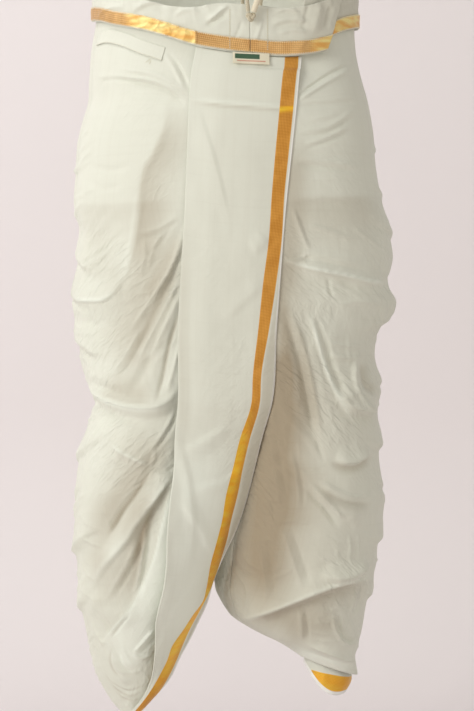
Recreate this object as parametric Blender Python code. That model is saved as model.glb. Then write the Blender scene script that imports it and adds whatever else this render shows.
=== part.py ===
"""Ready-made dhoti: a stitched, worn dhoti with a draped fall in front and a zari border.

Metres, +Z up. The origin is the centre of the waist opening, -Y is towards the front, and
+X is the wearer's left. Every table is in millimetres and every piece of cloth is a wall
that keeps a small gap to the next piece.
"""

from collections import namedtuple

import bmesh
import bpy
import numpy as np
from mathutils import Vector
from mathutils.bvhtree import BVHTree

MM = 0.001

# Driving dimensions, in millimetres.
WALL = 2.0                # thickness of a cloth wall
TRIM_WALL = 1.2           # thickness of the zari tape, the pocket welt and the label
SEAM_GAP = 0.4            # space between two pieces that are sewn together
INSEAM_GAP = 2.8          # the same beside the inner-leg pieces, where the walls turn a corner
SIDE_GAP = 1.0            # the same along the side seams, which turn most at the ankle
WAIST_HALF_WIDTH = 170.0
WAIST_HALF_DEPTH = 125.0
WAIST_BEND = 2.2          # how square the waist ring is: 2 is an ellipse
ZARI_WIDTH = 18.0         # width of the gold tape along the waist
ZARI_RISE = 1.5           # height of the tape's lower edge above the waist seam
SEAM_FLAT = 90.5          # up to this seam angle a leg's edges meet the other leg's
SEAM_TUCK = 12.0          # how far the legs reach up inside the waistband
BAND_LIFT = 2.8           # how far the waistband lies outside the legs' outer face
CROTCH_LEVEL = -380.0     # below this height each leg closes on itself
CROTCH_FADE = 90.0        # height over which the space between the legs opens below it
INNER_LEG_DROP = 8.0      # how far below the crotch the inner-leg pieces begin
SEAM_FADE = -170.0        # the rings are level from here down, and follow the seam above
FOLDS_BEGIN = 60.0        # depth below the waist at which the folds begin
FOLDS_FULL = 110.0        # depth below the waist at which they have their full height
FALL_CLEARANCE = 2.0      # space between the front fall and the legs behind it
FALL_TOP_FADE = -110.0    # the fall's rows are level from here down
FALL_REACH = 12.0         # how far above and below a row the cloth behind props it out
AHEAD = -400.0            # a depth in front of all the cloth
LEFT = 1
RIGHT = -1

LEG_RINGS = 38
PANEL_COLUMNS = 16
INNER_COLUMNS = 10
SECTION_SAMPLES = 181
TAUT_SAMPLES = 41

Material = namedtuple("Material", "name colour roughness metallic")
COTTON = Material("cotton", (0.76, 0.71, 0.58, 1.0), 0.85, 0.0)
ZARI = Material("zari", (0.60, 0.33, 0.09, 1.0), 0.4, 0.6)
CORD = Material("drawcord", (0.80, 0.76, 0.64, 1.0), 0.8, 0.0)
LABEL = Material("label", (0.78, 0.75, 0.62, 1.0), 0.6, 0.0)

# The outer edge of each leg as seen from the front: height and distance from the middle.
Edge = namedtuple("Edge", "level x")
RIGHT_OUTLINE = [
    Edge(20, 170), Edge(-15, 170), Edge(-40, 174), Edge(-94, 178), Edge(-122, 179),
    Edge(-148, 187), Edge(-176, 194), Edge(-216, 197), Edge(-263, 200), Edge(-304, 192),
    Edge(-340, 196), Edge(-387, 206), Edge(-429, 196), Edge(-479, 192), Edge(-531, 176),
    Edge(-575, 188), Edge(-648, 201), Edge(-742, 198), Edge(-794, 194), Edge(-844, 184),
    Edge(-898, 171), Edge(-932, 151), Edge(-953, 134),
]
LEFT_OUTLINE = [
    Edge(20, 170), Edge(-15, 170), Edge(-54, 172), Edge(-94, 179), Edge(-122, 186),
    Edge(-176, 195), Edge(-216, 199), Edge(-275, 211), Edge(-333, 224), Edge(-373, 219),
    Edge(-392, 227), Edge(-417, 213), Edge(-467, 200), Edge(-505, 211), Edge(-536, 205),
    Edge(-567, 207), Edge(-606, 207), Edge(-655, 215), Edge(-709, 207), Edge(-742, 205),
    Edge(-805, 190), Edge(-855, 181), Edge(-872, 176), Edge(-896, 180),
]

# Cross-sections of each leg. ridge is where it is deepest, inner is its edge beside the
# other leg, front and back are its depths, and bend_out and bend_in say how square the two
# sides are. rise lifts the inner edge, so that a lower ring slants. seam is the angle from
# the outer side, in degrees, at which the inner-leg piece takes over.
Section = namedtuple("Section", "level ridge inner front back bend_out bend_in rise seam")
RIGHT_SECTIONS = [
    Section(20, 0, 0, 125, 125, 2.2, 3.0, 0, 90),
    Section(-22, 0, 0, 125, 125, 2.2, 3.0, 0, 90),
    Section(-72, 0, 0, 133, 139, 2.3, 3.0, 0, 90),
    Section(-140, 0, 0, 139, 154, 2.3, 3.0, 0, 90),
    Section(-260, 0, 0, 142, 160, 2.3, 3.2, 0, 90),
    Section(-380, 3, 1, 140, 156, 2.3, 3.6, 0, 90),
    Section(-470, 52, 4, 138, 152, 2.3, 3.2, 0, 97),
    Section(-560, 86, 4, 134, 148, 2.3, 2.6, 0, 132),
    Section(-650, 96, 10, 128, 144, 2.3, 2.3, 0, 140),
    Section(-742, 100, 18, 116, 134, 2.2, 2.2, 2, 145),
    Section(-800, 104, 22, 104, 120, 2.2, 2.1, 24, 148),
    Section(-860, 106, 25, 86, 99, 2.1, 2.0, 77, 150),
    Section(-910, 102, 27, 68, 75, 2.0, 2.0, 123, 150),
    Section(-953, 85, 29, 50, 54, 2.0, 2.0, 161, 150),
]
LEFT_SECTIONS = [
    Section(20, 0, 0, 125, 125, 2.2, 3.0, 0, 90),
    Section(-22, 0, 0, 125, 125, 2.2, 3.0, 0, 90),
    Section(-72, 0, 0, 133, 139, 2.3, 3.0, 0, 90),
    Section(-140, 0, 0, 139, 154, 2.3, 3.0, 0, 90),
    Section(-260, 0, 0, 142, 160, 2.3, 3.2, 0, 90),
    Section(-380, 3, 1, 140, 156, 2.3, 3.6, 0, 90),
    Section(-470, 52, 4, 138, 152, 2.3, 3.2, 0, 97),
    Section(-560, 92, 1, 134, 150, 2.3, 2.2, 0, 132),
    Section(-650, 104, -5, 130, 146, 2.3, 2.1, 0, 140),
    Section(-742, 106, -12, 120, 138, 2.2, 2.0, 2, 145),
    Section(-800, 110, -7, 108, 124, 2.2, 2.0, 10, 148),
    Section(-830, 118, 10, 98, 110, 2.1, 2.0, 14, 150),
    Section(-855, 130, 39, 84, 92, 2.0, 2.0, 20, 150),
    Section(-875, 139, 74, 67, 72, 2.0, 2.0, 23, 150),
    Section(-896, 141, 101, 47, 50, 2.0, 2.0, 27, 150),
]

# The lower layer that shows as a cuff under the left hem. sag rounds its lower edge.
Cuff = namedtuple("Cuff", "outer_level outer_x inner_level inner_x front back sag")
LEFT_CUFF = [
    Cuff(-872, 171, -852, 110, 40, 42, 0),
    Cuff(-888, 171, -862, 109, 39, 41, 4),
    Cuff(-904, 172, -871, 108, 38, 40, 10),
    Cuff(-919, 165, -879, 107, 36, 38, 17),
]

CUFF_ROWS = 7
CUFF_COLUMNS = 19
CUFF_HALF_SEAM = 0.02     # half of the space at the cuff's seam, in radians

# The waist seam, where legs and waistband meet, goes round by angle: 0 is the wearer's
# left, 90 the front, 180 the right and -90 the back. height is the waistband's.
Seam = namedtuple("Seam", "angle level height")
FRONT_SEAM = [
    Seam(44, -57, 70), Seam(56, -68, 70), Seam(68, -75, 66), Seam(79, -77, 63), Seam(90, -74, 64),
    Seam(101, -69, 61), Seam(112, -62, 50), Seam(123, -51, 42), Seam(134, -41, 41), Seam(145, -34, 44),
    Seam(156, -28, 46), Seam(167, -21, 48), Seam(180, -16, 50),
]
BACK_SEAM = [
    Seam(-180, -16, 50), Seam(-135, -2, 56), Seam(-90, 4, 60), Seam(-45, -10, 60), Seam(0, -28, 60),
    Seam(35, -37, 62), Seam(44, -42, 64), Seam(53, -50, 64), Seam(70, -64, 64),
]
FLY_ANGLE = 90.0          # the slit in the front of the waistband
FLY_HALF_SLIT = 0.12      # half of that slit, in degrees
SIDE_ANGLE = 177.0        # the right side seam of the waistband
SIDE_SLIT = 0.2           # the space at that seam, in degrees
OVERLAP_ANGLE = 56.5      # the front waistband's end, at its lower edge
OVERLAP_LEAN = -12.5      # how far that end has moved round at the upper edge
OVERLAP_LIFT = 4.6        # how far the front waistband lifts off the back one there
OVERLAP_RAMP = (0.25, 0.6)  # where along the piece it starts to lift, and where it is up
BACK_ANGLE = 68.0         # the back waistband's hidden end
BAND_ROWS = 4
TAPE_ROWS = 3

# How far the wearer's turn moves the front centre to the wearer's left, per depth.
Turn = namedtuple("Turn", "level shear")
TURN = [Turn(60, 0.27), Turn(-150, 0.25), Turn(-400, 0.12), Turn(-700, 0.04), Turn(-960, 0.0)]

# Folds in the cloth. height is how far a ridge stands out, or below zero how deep a trough
# is. rise and fall are its widths on the left and on the right of its path as it runs.
Fold = namedtuple("Fold", "height rise fall path")
FRONT_FOLDS = [
    Fold(14, 62, 16, [(-184, -475), (-164, -513), (-122, -530), (-86, -531), (-57, -506)]),
    Fold(-10, 17, 20, [(-54, -356), (-75, -391), (-101, -434), (-122, -470)]),
    Fold(-8, 16, 18, [(-50, -291), (-88, -347), (-106, -372)]),
    Fold(-8, 15, 18, [(-58, -446), (-71, -475), (-84, -523)]),
    Fold(-4, 14, 16, [(-126, -109), (-100, -116), (-70, -129), (-48, -137)]),
    Fold(8, 34, 18, [(-146, -589), (-117, -602), (-96, -609)]),
    Fold(-8, 18, 20, [(-104, -615), (-130, -655), (-156, -699)]),
    Fold(9, 34, 20, [(-65, -621), (-91, -652), (-104, -679), (-133, -720), (-172, -773)]),
    Fold(9, 34, 16, [(-172, -773), (-165, -795), (-130, -808), (-117, -786)]),
    Fold(9, 36, 18, [(97, -344), (115, -350), (156, -356), (191, -368), (212, -364)]),
    Fold(-8, 18, 18, [(100, -446), (110, -511), (125, -575)]),
    Fold(-8, 16, 18, [(122, -446), (146, -510), (168, -547)]),
    Fold(12, 38, 16, [(135, -475), (156, -522), (176, -532), (199, -535)]),
    Fold(6, 28, 16, [(149, -589), (172, -589), (194, -582)]),
    Fold(9, 28, 16, [(119, -639), (144, -659), (181, -685)]),
    Fold(6, 24, 16, [(123, -757), (159, -753), (190, -748)]),
    Fold(12, 30, 18, [(25, -814), (65, -801), (109, -786), (142, -773), (185, -766)]),
]
BACK_FOLDS = [
    Fold(10, 46, 18, [(-182, -300), (-130, -345), (-70, -350), (-20, -318)]),
    Fold(12, 50, 18, [(-186, -450), (-132, -505), (-72, -508), (-18, -470)]),
    Fold(10, 44, 18, [(-188, -600), (-138, -655), (-80, -660), (-34, -628)]),
    Fold(8, 36, 16, [(-176, -736), (-136, -776), (-86, -778), (-50, -752)]),
    Fold(10, 46, 18, [(20, -330), (72, -362), (136, -350), (196, -300)]),
    Fold(12, 50, 18, [(22, -480), (76, -518), (140, -508), (196, -440)]),
    Fold(10, 44, 18, [(28, -620), (84, -664), (146, -655), (200, -596)]),
    Fold(8, 36, 16, [(40, -745), (90, -778), (146, -768), (190, -728)]),
]

# The front fall: its two edges seen from the front, how far its right edge turns back, and
# how sharply. It hangs from the waist seam down to the right ankle.
Fall = namedtuple("Fall", "level start end turn bend")
FRONT_FALL = [
    Fall(-40, -35, 104, 0, 2.0), Fall(-104, -42, 100, 0, 2.0), Fall(-192, -46, 90, 2, 2.0),
    Fall(-287, -50, 80, 4, 2.4), Fall(-354, -54, 75, 7, 3.0), Fall(-436, -58, 69, 10, 3.0),
    Fall(-529, -58, 63, 13, 3.0), Fall(-576, -62, 50, 15, 3.0), Fall(-610, -63, 42, 17, 3.0),
    Fall(-654, -68, 31, 19, 3.0), Fall(-699, -72, 16, 21, 3.2), Fall(-735, -73, -1, 22, 3.4),
    Fall(-768, -77, -14, 20, 3.4), Fall(-796, -84, -22, 16, 3.0), Fall(-816, -88, -31, 12, 2.6),
    Fall(-843, -91, -44, 10, 2.4), Fall(-869, -97, -58, 9, 2.2), Fall(-896, -106, -71, 8, 2.0),
    Fall(-929, -121, -99, 4, 2.0), Fall(-947, -131, -115, 2, 2.0),
]
FALL_ROWS = 38
FALL_COLUMNS = 9

# The pocket welt on the right hip: its lower edge, and from there to its upper edge.
WELT_LOWER = [(-156, -51), (-144, -56), (-117, -66), (-82, -80)]
WELT_RISE = (4.0, 18.0)
WELT_LIFT = 0.9
WELT_ROWS = 4
WELT_STEPS = 3

LABEL_WIDTH = 48.0
LABEL_HEIGHT = 15.0
LABEL_MIDDLE = 36.0
LABEL_TOP = -77.0
LABEL_TILT = 0.04
LABEL_LIFT = 1.5          # space between the label and the fall behind it
LABEL_HANG = -84.0        # the label's sewn edge stands as far out as the fall does here
LABEL_ROWS = 3
LABEL_COLUMNS = 5

KNOT_CENTRE = (35.5, -139.0, -27.0)
KNOT_RADII = (6.5, 4.5, 6.0)
CORD_SIDES = 2            # bevel resolution of a drawcord's tube
CORD_SPACING = 2.2        # diameters between two points of a drawcord
THICK_CORD_RADIUS = 3.8
THIN_CORD_RADIUS = 2.4
# Each end of the drawcord rises from the knot, goes over the waistband and hangs inside.
THICK_CORD_ROUTE = [
    (39.0, -140.0, -20.6), (42.0, -142.0, -12.0), (46.0, -141.0, -2.0), (49.0, -134.0, 5.0),
    (49.0, -124.0, 7.0), (48.0, -116.0, 0.0), (46.0, -113.0, -16.0), (45.0, -113.0, -34.0),
]
THIN_CORD_ROUTE = [
    (31.8, -140.0, -20.6), (31.0, -141.0, -10.0), (30.0, -139.0, -1.0), (28.0, -132.0, 4.5),
    (26.0, -123.0, 6.0), (25.0, -116.0, 0.0), (25.0, -113.5, -14.0), (26.0, -113.5, -30.0),
]


def smooth(at, knots, values):
    """A smooth curve through a table's values, read at the given places."""
    order = np.argsort(knots)
    knots = np.asarray(knots, float)[order]
    values = np.asarray(values, float)[order]
    slope = np.gradient(values, knots)
    at = np.clip(np.asarray(at, float), knots[0], knots[-1])
    low = np.clip(np.searchsorted(knots, at) - 1, 0, len(knots) - 2)
    span = knots[low + 1] - knots[low]
    t = (at - knots[low]) / span
    start = values[low] * (1 + 2 * t) * (1 - t) ** 2 + slope[low] * span * t * (1 - t) ** 2
    end = values[low + 1] * t * t * (3 - 2 * t) + slope[low + 1] * span * t * t * (t - 1)
    return start + end


def column(table, name, at):
    """One named column of a table, read at a place in the table's first column."""
    return smooth(at, [row[0] for row in table], [getattr(row, name) for row in table])


def ease(value, low, high):
    """Rises smoothly from 0 at low to 1 at high."""
    t = np.clip((np.asarray(value, float) - low) / (high - low), 0.0, 1.0)
    return t * t * (3 - 2 * t)


def shear(level):
    return column(TURN, "shear", level)


def seam_level(angle):
    """Height of the waist seam round the waist, with the two overlapping ends blended."""
    angle = np.asarray(angle, float)
    front = column(FRONT_SEAM, "level", angle)
    back = column(BACK_SEAM, "level", np.where(angle > 90.0, angle - 360.0, angle))
    share = ease(angle, OVERLAP_ANGLE - 8, BACK_ANGLE)
    return np.where(angle >= 24.0, back + (front - back) * share, back)


def ring_point(angle, level, lift):
    """A point of the waist ring at an angle in degrees, moved out by lift."""
    turn = np.radians(angle)
    power = 2.0 / WAIST_BEND
    across = np.sign(np.cos(turn)) * np.abs(np.cos(turn)) ** power
    deep = np.sign(np.sin(turn)) * np.abs(np.sin(turn)) ** power
    y = -(WAIST_HALF_DEPTH + lift) * deep
    x = (WAIST_HALF_WIDTH + lift) * across - shear(level) * y
    return np.stack([x, y, np.broadcast_to(level, x.shape)], axis=-1)


def front_angle(x):
    """The angle at which the front of the waist ring passes a place seen from the front."""
    probe = np.linspace(180.0, 0.0, 181)
    return np.interp(x, ring_point(probe, 0.0, 0.0)[:, 0], probe)


def fold_path(points, steps=8):
    """A smooth line through a fold's few points."""
    points = np.asarray(points, float)
    along = np.arange(len(points), dtype=float)
    fine = np.linspace(0, len(points) - 1, steps * (len(points) - 1) + 1)
    return np.stack([smooth(fine, along, points[:, i]) for i in (0, 1)], axis=-1)


def fold_height(fold, x, z):
    """How far one fold moves the cloth out at each point seen from the front."""
    path = fold_path(fold.path)
    start = path[:-1]
    run = path[1:] - start
    length = np.linalg.norm(run, axis=1)
    heading = run / length[:, None]
    spot = np.stack([x, z], axis=-1)[..., None, :] - start
    along = np.clip((spot * heading).sum(-1), 0.0, length)
    off = spot - along[..., None] * heading
    far = np.linalg.norm(off, axis=-1)
    near = far.argmin(-1)[..., None]
    side = off[..., 0] * heading[:, 1] - off[..., 1] * heading[:, 0]
    begin = np.concatenate([[0.0], np.cumsum(length)[:-1]])
    share = (np.take_along_axis(along + begin, near, -1)[..., 0]) / length.sum()
    away = np.take_along_axis(far, near, -1)[..., 0]
    right = np.take_along_axis(side, near, -1)[..., 0] > 0
    width = np.where(right, fold.fall, fold.rise)
    bump = np.cos(np.clip(away / width, 0.0, 1.0) * np.pi) * 0.5 + 0.5
    return fold.height * bump * ease(share, -0.05, 0.25) * ease(1 - share, -0.05, 0.25)


def folds_at(points, normals, level):
    """The sum of the folds at points of a leg, fading at its sides and at its top."""
    x, z = points[:, 0], points[:, 2]
    front = ease(-normals[:, 1], 0.05, 0.6)
    back = ease(normals[:, 1], 0.05, 0.6)
    total = front * sum(fold_height(fold, x, z) for fold in FRONT_FOLDS)
    total = total + back * sum(fold_height(fold, x, z) for fold in BACK_FOLDS)
    return total * ease(-level, FOLDS_BEGIN, FOLDS_FULL)


def leg_section(side, level):
    """Fine outline of one leg's ring: angles from the outer side, points and normals."""
    table = LEFT_SECTIONS if side == LEFT else RIGHT_SECTIONS
    outline = LEFT_OUTLINE if side == LEFT else RIGHT_OUTLINE
    outer = side * column(outline, "x", level)
    shape = {name: float(column(table, name, level)) for name in Section._fields[1:]}
    ridge, inner = side * shape["ridge"], side * shape["inner"]
    opened = ease(-level, -CROTCH_LEVEL, -CROTCH_LEVEL + CROTCH_FADE)
    gap = SEAM_GAP + (INSEAM_GAP - SEAM_GAP) * opened
    ridge = side * max(side * ridge, gap)
    inner = side * max(side * inner, gap) if side * inner >= 0 else inner
    angle = np.linspace(-180.0, 180.0, 2 * SECTION_SAMPLES - 1)
    turn = np.radians(angle)
    outward = np.cos(turn) >= 0
    power = 2.0 / np.where(outward, shape["bend_out"], shape["bend_in"])
    across = np.abs(np.cos(turn)) ** power
    x = np.where(outward, ridge + (outer - ridge) * across, ridge + (inner - ridge) * across)
    deep = np.sign(np.sin(turn)) * np.abs(np.sin(turn)) ** power
    y = -np.where(turn > 0, shape["front"], shape["back"]) * deep
    z = level + shape["rise"] * (x - outer) / (inner - outer)
    round_waist = angle if side == LEFT else 180.0 - angle
    round_waist = np.where(round_waist > 180.0, round_waist - 360.0, round_waist)
    z = z + (seam_level(round_waist) + SEAM_TUCK) * ease(level, SEAM_FADE, 0.0)
    x = x - shear(level) * y
    points = np.stack([x, y, z], axis=-1)
    tangent = np.gradient(points[:, :2], axis=0)
    tangent /= np.maximum(np.linalg.norm(tangent, axis=1), 1e-9)[:, None]
    normals = side * np.stack([-tangent[:, 1], tangent[:, 0], np.zeros(len(x))], axis=-1)
    return angle, points, normals, shape["seam"]


def leg_grid(side, levels, columns, panel):
    """Outer points of one panel of a leg: a row for each ring, even round it."""
    rows = []
    for level in levels:
        angle, points, normals, seam = leg_section(side, level)
        step = np.linalg.norm(np.diff(points[:, :2], axis=0), axis=1)
        length = np.concatenate([[0.0], np.cumsum(step)])
        gap = INSEAM_GAP if seam > SEAM_FLAT else SEAM_GAP
        if panel == "inner":
            angle = np.concatenate([angle, angle[1:] + 360.0])
            length = np.concatenate([length, length[1:] + length[-1]])
            points = np.concatenate([points, points[1:]])
            normals = np.concatenate([normals, normals[1:]])
            ends, gaps = (seam, 360.0 - seam), (gap, gap)
        elif panel == "front":
            ends, gaps = (0.0, seam), (SIDE_GAP, gap)
        else:
            ends, gaps = (-seam, 0.0), (gap, SIDE_GAP)
        start, end = np.interp(ends, angle, length)
        place = np.linspace(start + gaps[0] / 2, end - gaps[1] / 2, columns)
        ring = np.stack([np.interp(place, length, points[:, i]) for i in range(3)], axis=-1)
        out = np.stack([np.interp(place, length, normals[:, i]) for i in range(3)], axis=-1)
        out /= np.linalg.norm(out, axis=1)[:, None]
        rows.append(ring + out * folds_at(ring, out, level)[:, None])
    return np.array(rows)


def sheet(name, grid, material, thickness, facing):
    """A cloth wall: the grid holds its outer face, and facing is a direction it looks in."""
    rows, columns = grid.shape[:2]
    mesh = bmesh.new()
    bmesh.ops.create_grid(mesh, x_segments=columns - 1, y_segments=rows - 1, size=1.0)
    for vert in mesh.verts:
        j = round((vert.co.x + 1) / 2 * (columns - 1))
        i = round((vert.co.y + 1) / 2 * (rows - 1))
        vert.co = Vector(grid[i, j]) * MM
    mesh.normal_update()
    looks = sum((face.normal * face.calc_area() for face in mesh.faces), Vector())
    if looks.dot(Vector(facing)) < 0:
        bmesh.ops.reverse_faces(mesh, faces=mesh.faces)
    node = new_object(name, mesh, material)
    wall = node.modifiers.new("Wall", "SOLIDIFY")
    wall.thickness = thickness * MM
    wall.offset = -1.0
    wall.use_rim = True
    return node


def new_object(name, mesh, material):
    """Links a bmesh as a smooth-shaded object with its own material."""
    data = bpy.data.meshes.new(name)
    mesh.to_mesh(data)
    mesh.free()
    data.shade_smooth()
    data.materials.append(principled(name, material))
    node = bpy.data.objects.new(name, data)
    bpy.context.scene.collection.objects.link(node)
    return node


def principled(name, look):
    """A plain finish for one piece."""
    material = bpy.data.materials.new(f"{name}_{look.name}")
    material.use_nodes = True
    shader = material.node_tree.nodes["Principled BSDF"]
    shader.inputs["Base Color"].default_value = look.colour
    shader.inputs["Roughness"].default_value = look.roughness
    shader.inputs["Metallic"].default_value = look.metallic
    return material


def surface_tree(grids):
    """The outer faces of several grids, to lay another piece on."""
    points, faces = [], []
    for grid in grids:
        rows, columns = grid.shape[:2]
        base = len(points)
        points += [Vector(point) for point in grid.reshape(-1, 3)]
        for i in range(rows - 1):
            for j in range(columns - 1):
                corner = base + i * columns + j
                faces.append((corner, corner + 1, corner + columns + 1, corner + columns))
    return BVHTree.FromPolygons(points, faces)


def front_depth(tree, x, z):
    """Depth of the foremost cloth at a place seen from the front, or None beside it."""
    hit = tree.ray_cast(Vector((x, AHEAD, z)), Vector((0.0, 1.0, 0.0)))[0]
    return None if hit is None else hit.y


def laid_on(tree, x, z, lift):
    """The point that lies a little way out from the foremost cloth at a place."""
    spot, normal = tree.ray_cast(Vector((x, AHEAD, z)), Vector((0.0, 1.0, 0.0)))[:2]
    if normal.y > 0:
        normal = -normal
    return np.array(spot + normal * lift)


def taut_depths(tree, places, level, reach):
    """Depths of a cloth pulled tight over whatever stands behind a level line."""
    found = []
    for x in np.linspace(places[0], places[-1], TAUT_SAMPLES):
        depths = [front_depth(tree, x, level + lift) for lift in np.linspace(-reach, reach, 5)]
        depths = [depth for depth in depths if depth is not None]
        if depths:
            found.append((x, min(depths)))
    hull = []
    for spot in found:
        while len(hull) > 1 and crosses_behind(hull[-2], hull[-1], spot):
            hull.pop()
        hull.append(spot)
    return np.interp(places, [spot[0] for spot in hull], [spot[1] for spot in hull])


def crosses_behind(first, middle, last):
    """Whether a straight line from first to last passes in front of middle."""
    share = (middle[0] - first[0]) / (last[0] - first[0])
    return middle[1] >= first[1] + (last[1] - first[1]) * share


def fall_grid(tree):
    """Outer points of the front fall, laid over both legs."""
    across = np.linspace(0.0, 1.0, FALL_COLUMNS)
    levels = np.linspace(FRONT_FALL[0].level, FRONT_FALL[-1].level, FALL_ROWS)
    rows = []
    for level in levels:
        start, end = column(FRONT_FALL, "start", level), column(FRONT_FALL, "end", level)
        x = start + (end - start) * across
        top = seam_level(front_angle(x)) - 2 * SEAM_GAP - level
        z = level + (top - FRONT_FALL[0].level + level) * ease(level, FALL_TOP_FADE, FRONT_FALL[0].level)
        rows.append((x, z))
    depths = []
    for (x, z), level in zip(rows, levels):
        taut = taut_depths(tree, x, float(z.mean()), FALL_REACH)
        turned = column(FRONT_FALL, "turn", level) * across ** float(column(FRONT_FALL, "bend", level))
        straight = taut[0] + (taut[-1] - taut[0]) * across
        depths.append(np.minimum(taut, straight) + turned - turned[-1])
    depths = np.array(depths)
    for _ in range(2):
        depths[1:-1] = np.minimum(depths[1:-1], (depths[:-2] + depths[2:]) / 2)
    depths = depths - FALL_CLEARANCE - WALL
    return np.stack([np.array([x for x, _ in rows]), depths, np.array([z for _, z in rows])], axis=-1)


def band_grid(table, start, end, lean, lifts, bottom, top, columns, rows):
    """Outer points of a stretch of waistband between two angles and two heights on it."""
    grid = []
    for share in np.linspace(0.0, 1.0, rows):
        line = []
        for along in np.linspace(0.0, 1.0, columns):
            probe = start + (end - start) * along
            height = column(table, "height", probe)
            up = bottom + (top - bottom) * share if top else height * share
            angle = start + (end + lean * up / height - start) * along
            lift = lifts[0] + (lifts[1] - lifts[0]) * ease(along, *OVERLAP_RAMP)
            level = float(column(table, "level", angle) + up)
            line.append(ring_point(np.array(angle), level, lift))
        grid.append(line)
    return np.array(grid)


def make_waistband():
    """The waistband's three pieces with the zari tape sewn on each."""
    flat = (BAND_LIFT + WALL, BAND_LIFT + WALL)
    raised = (flat[0], flat[0] + OVERLAP_LIFT)
    fly_right, fly_left = FLY_ANGLE + FLY_HALF_SLIT, FLY_ANGLE - FLY_HALF_SLIT
    side = SIDE_ANGLE - 360.0 + SIDE_SLIT
    Piece = namedtuple("Piece", "name table start end lean lifts columns facing")
    pieces = [
        Piece("right", FRONT_SEAM, SIDE_ANGLE, fly_right, 0.0, flat, 19, (0, -1, 0)),
        Piece("left", FRONT_SEAM, fly_left, OVERLAP_ANGLE, OVERLAP_LEAN, raised, 10, (0, -1, 0)),
        Piece("back", BACK_SEAM, side, BACK_ANGLE, 0.0, flat, 35, (0, 1, 0)),
    ]
    tape_out = SEAM_GAP + TRIM_WALL
    for name, table, start, end, lean, lifts, columns, facing in pieces:
        band = band_grid(table, start, end, lean, lifts, 0.0, 0.0, columns, BAND_ROWS)
        sheet(f"waistband_{name}", band, COTTON, WALL, facing)
        lifts = (lifts[0] + tape_out, lifts[1] + tape_out)
        top = ZARI_RISE + ZARI_WIDTH
        tape = band_grid(table, start, end, lean, lifts, ZARI_RISE, top, columns, TAPE_ROWS)
        sheet(f"zari_tape_{name}", tape, ZARI, TRIM_WALL, facing)


def make_legs():
    """Both legs, each of a front, a back and an inner panel. Returns the outer faces."""
    outer_faces = []
    for name, side, table in (("right", RIGHT, RIGHT_SECTIONS), ("left", LEFT, LEFT_SECTIONS)):
        levels = np.linspace(0.0, table[-1].level, LEG_RINGS)
        front = leg_grid(side, levels, PANEL_COLUMNS, "front")
        sheet(f"{name}_leg_front", front, COTTON, WALL, (0, -1, 0))
        back = leg_grid(side, levels, PANEL_COLUMNS, "back")
        sheet(f"{name}_leg_back", back, COTTON, WALL, (0, 1, 0))
        low = levels[levels < CROTCH_LEVEL - INNER_LEG_DROP]
        inner = leg_grid(side, low, INNER_COLUMNS, "inner")
        sheet(f"{name}_inner_leg", inner, COTTON, WALL, (-side, 0, 0))
        outer_faces += [front, back]
    return outer_faces


def make_cuff():
    """The lower layer at the left ankle, a short tube with a rounded lower edge."""
    grid = []
    places = np.linspace(LEFT_CUFF[0].outer_level, LEFT_CUFF[-1].outer_level, CUFF_ROWS)
    for level in places:
        row = {name: float(column(LEFT_CUFF, name, level)) for name in Cuff._fields[1:]}
        turn = np.linspace(CUFF_HALF_SEAM - np.pi, np.pi - CUFF_HALF_SEAM, CUFF_COLUMNS)
        middle = (row["outer_x"] + row["inner_x"]) / 2
        half = (row["outer_x"] - row["inner_x"]) / 2
        x = middle + half * np.cos(turn)
        y = -np.where(turn > 0, row["front"], row["back"]) * np.sin(turn)
        share = (1 - np.cos(turn)) / 2
        z = level + (row["inner_level"] - level) * share - row["sag"] * np.sin(np.pi * share)
        grid.append(np.stack([x, y, z], axis=-1))
    sheet("left_cuff", np.array(grid), COTTON, WALL, (1, 0, 0))


def make_welt(tree):
    """The pocket welt, laid on the right hip."""
    lower = fold_path(WELT_LOWER, steps=WELT_STEPS)
    grid = []
    for share in np.linspace(0.0, 1.0, WELT_ROWS):
        spots = lower + np.array(WELT_RISE) * share
        grid.append([laid_on(tree, x, z, WELT_LIFT + TRIM_WALL) for x, z in spots])
    sheet("pocket_welt", np.array(grid), COTTON, TRIM_WALL, (0, -1, 0))


def make_label(fall_tree):
    """A bare woven label that hangs from the waist seam."""
    grid = []
    for drop in np.linspace(0.0, LABEL_HEIGHT, LABEL_ROWS):
        row = []
        for across in np.linspace(-0.5, 0.5, LABEL_COLUMNS):
            x = LABEL_MIDDLE + LABEL_WIDTH * across
            z = LABEL_TOP - LABEL_TILT * LABEL_WIDTH * across - drop
            behind = front_depth(fall_tree, x, min(z, LABEL_HANG))
            row.append((x, behind - TRIM_WALL - LABEL_LIFT, z))
        grid.append(row)
    sheet("label", np.array(grid), LABEL, TRIM_WALL, (0, -1, 0))


def make_knot():
    mesh = bmesh.new()
    bmesh.ops.create_uvsphere(mesh, u_segments=16, v_segments=8, radius=1.0)
    for vert in mesh.verts:
        vert.co = Vector([vert.co[i] * KNOT_RADII[i] + KNOT_CENTRE[i] for i in range(3)]) * MM
    new_object("drawcord_knot", mesh, CORD)


def make_cord(name, route, radius):
    """One end of the drawcord, a round tube along a smooth curve through its route."""
    route = np.asarray(route, float)
    length = np.concatenate([[0.0], np.cumsum(np.linalg.norm(np.diff(route, axis=0), axis=1))])
    count = int(length[-1] / (CORD_SPACING * 2 * radius)) + len(route)
    fine = np.linspace(0.0, length[-1], count)
    points = np.stack([smooth(fine, length, route[:, i]) for i in range(3)], axis=-1)
    curve = bpy.data.curves.new(name, "CURVE")
    curve.dimensions = "3D"
    curve.bevel_depth = radius * MM
    curve.bevel_resolution = CORD_SIDES
    curve.use_fill_caps = True
    line = curve.splines.new("POLY")
    line.points.add(count - 1)
    for spot, point in zip(line.points, points):
        spot.co = (*(point * MM), 1.0)
    curve.materials.append(principled(name, CORD))
    bpy.context.scene.collection.objects.link(bpy.data.objects.new(name, curve))


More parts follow.
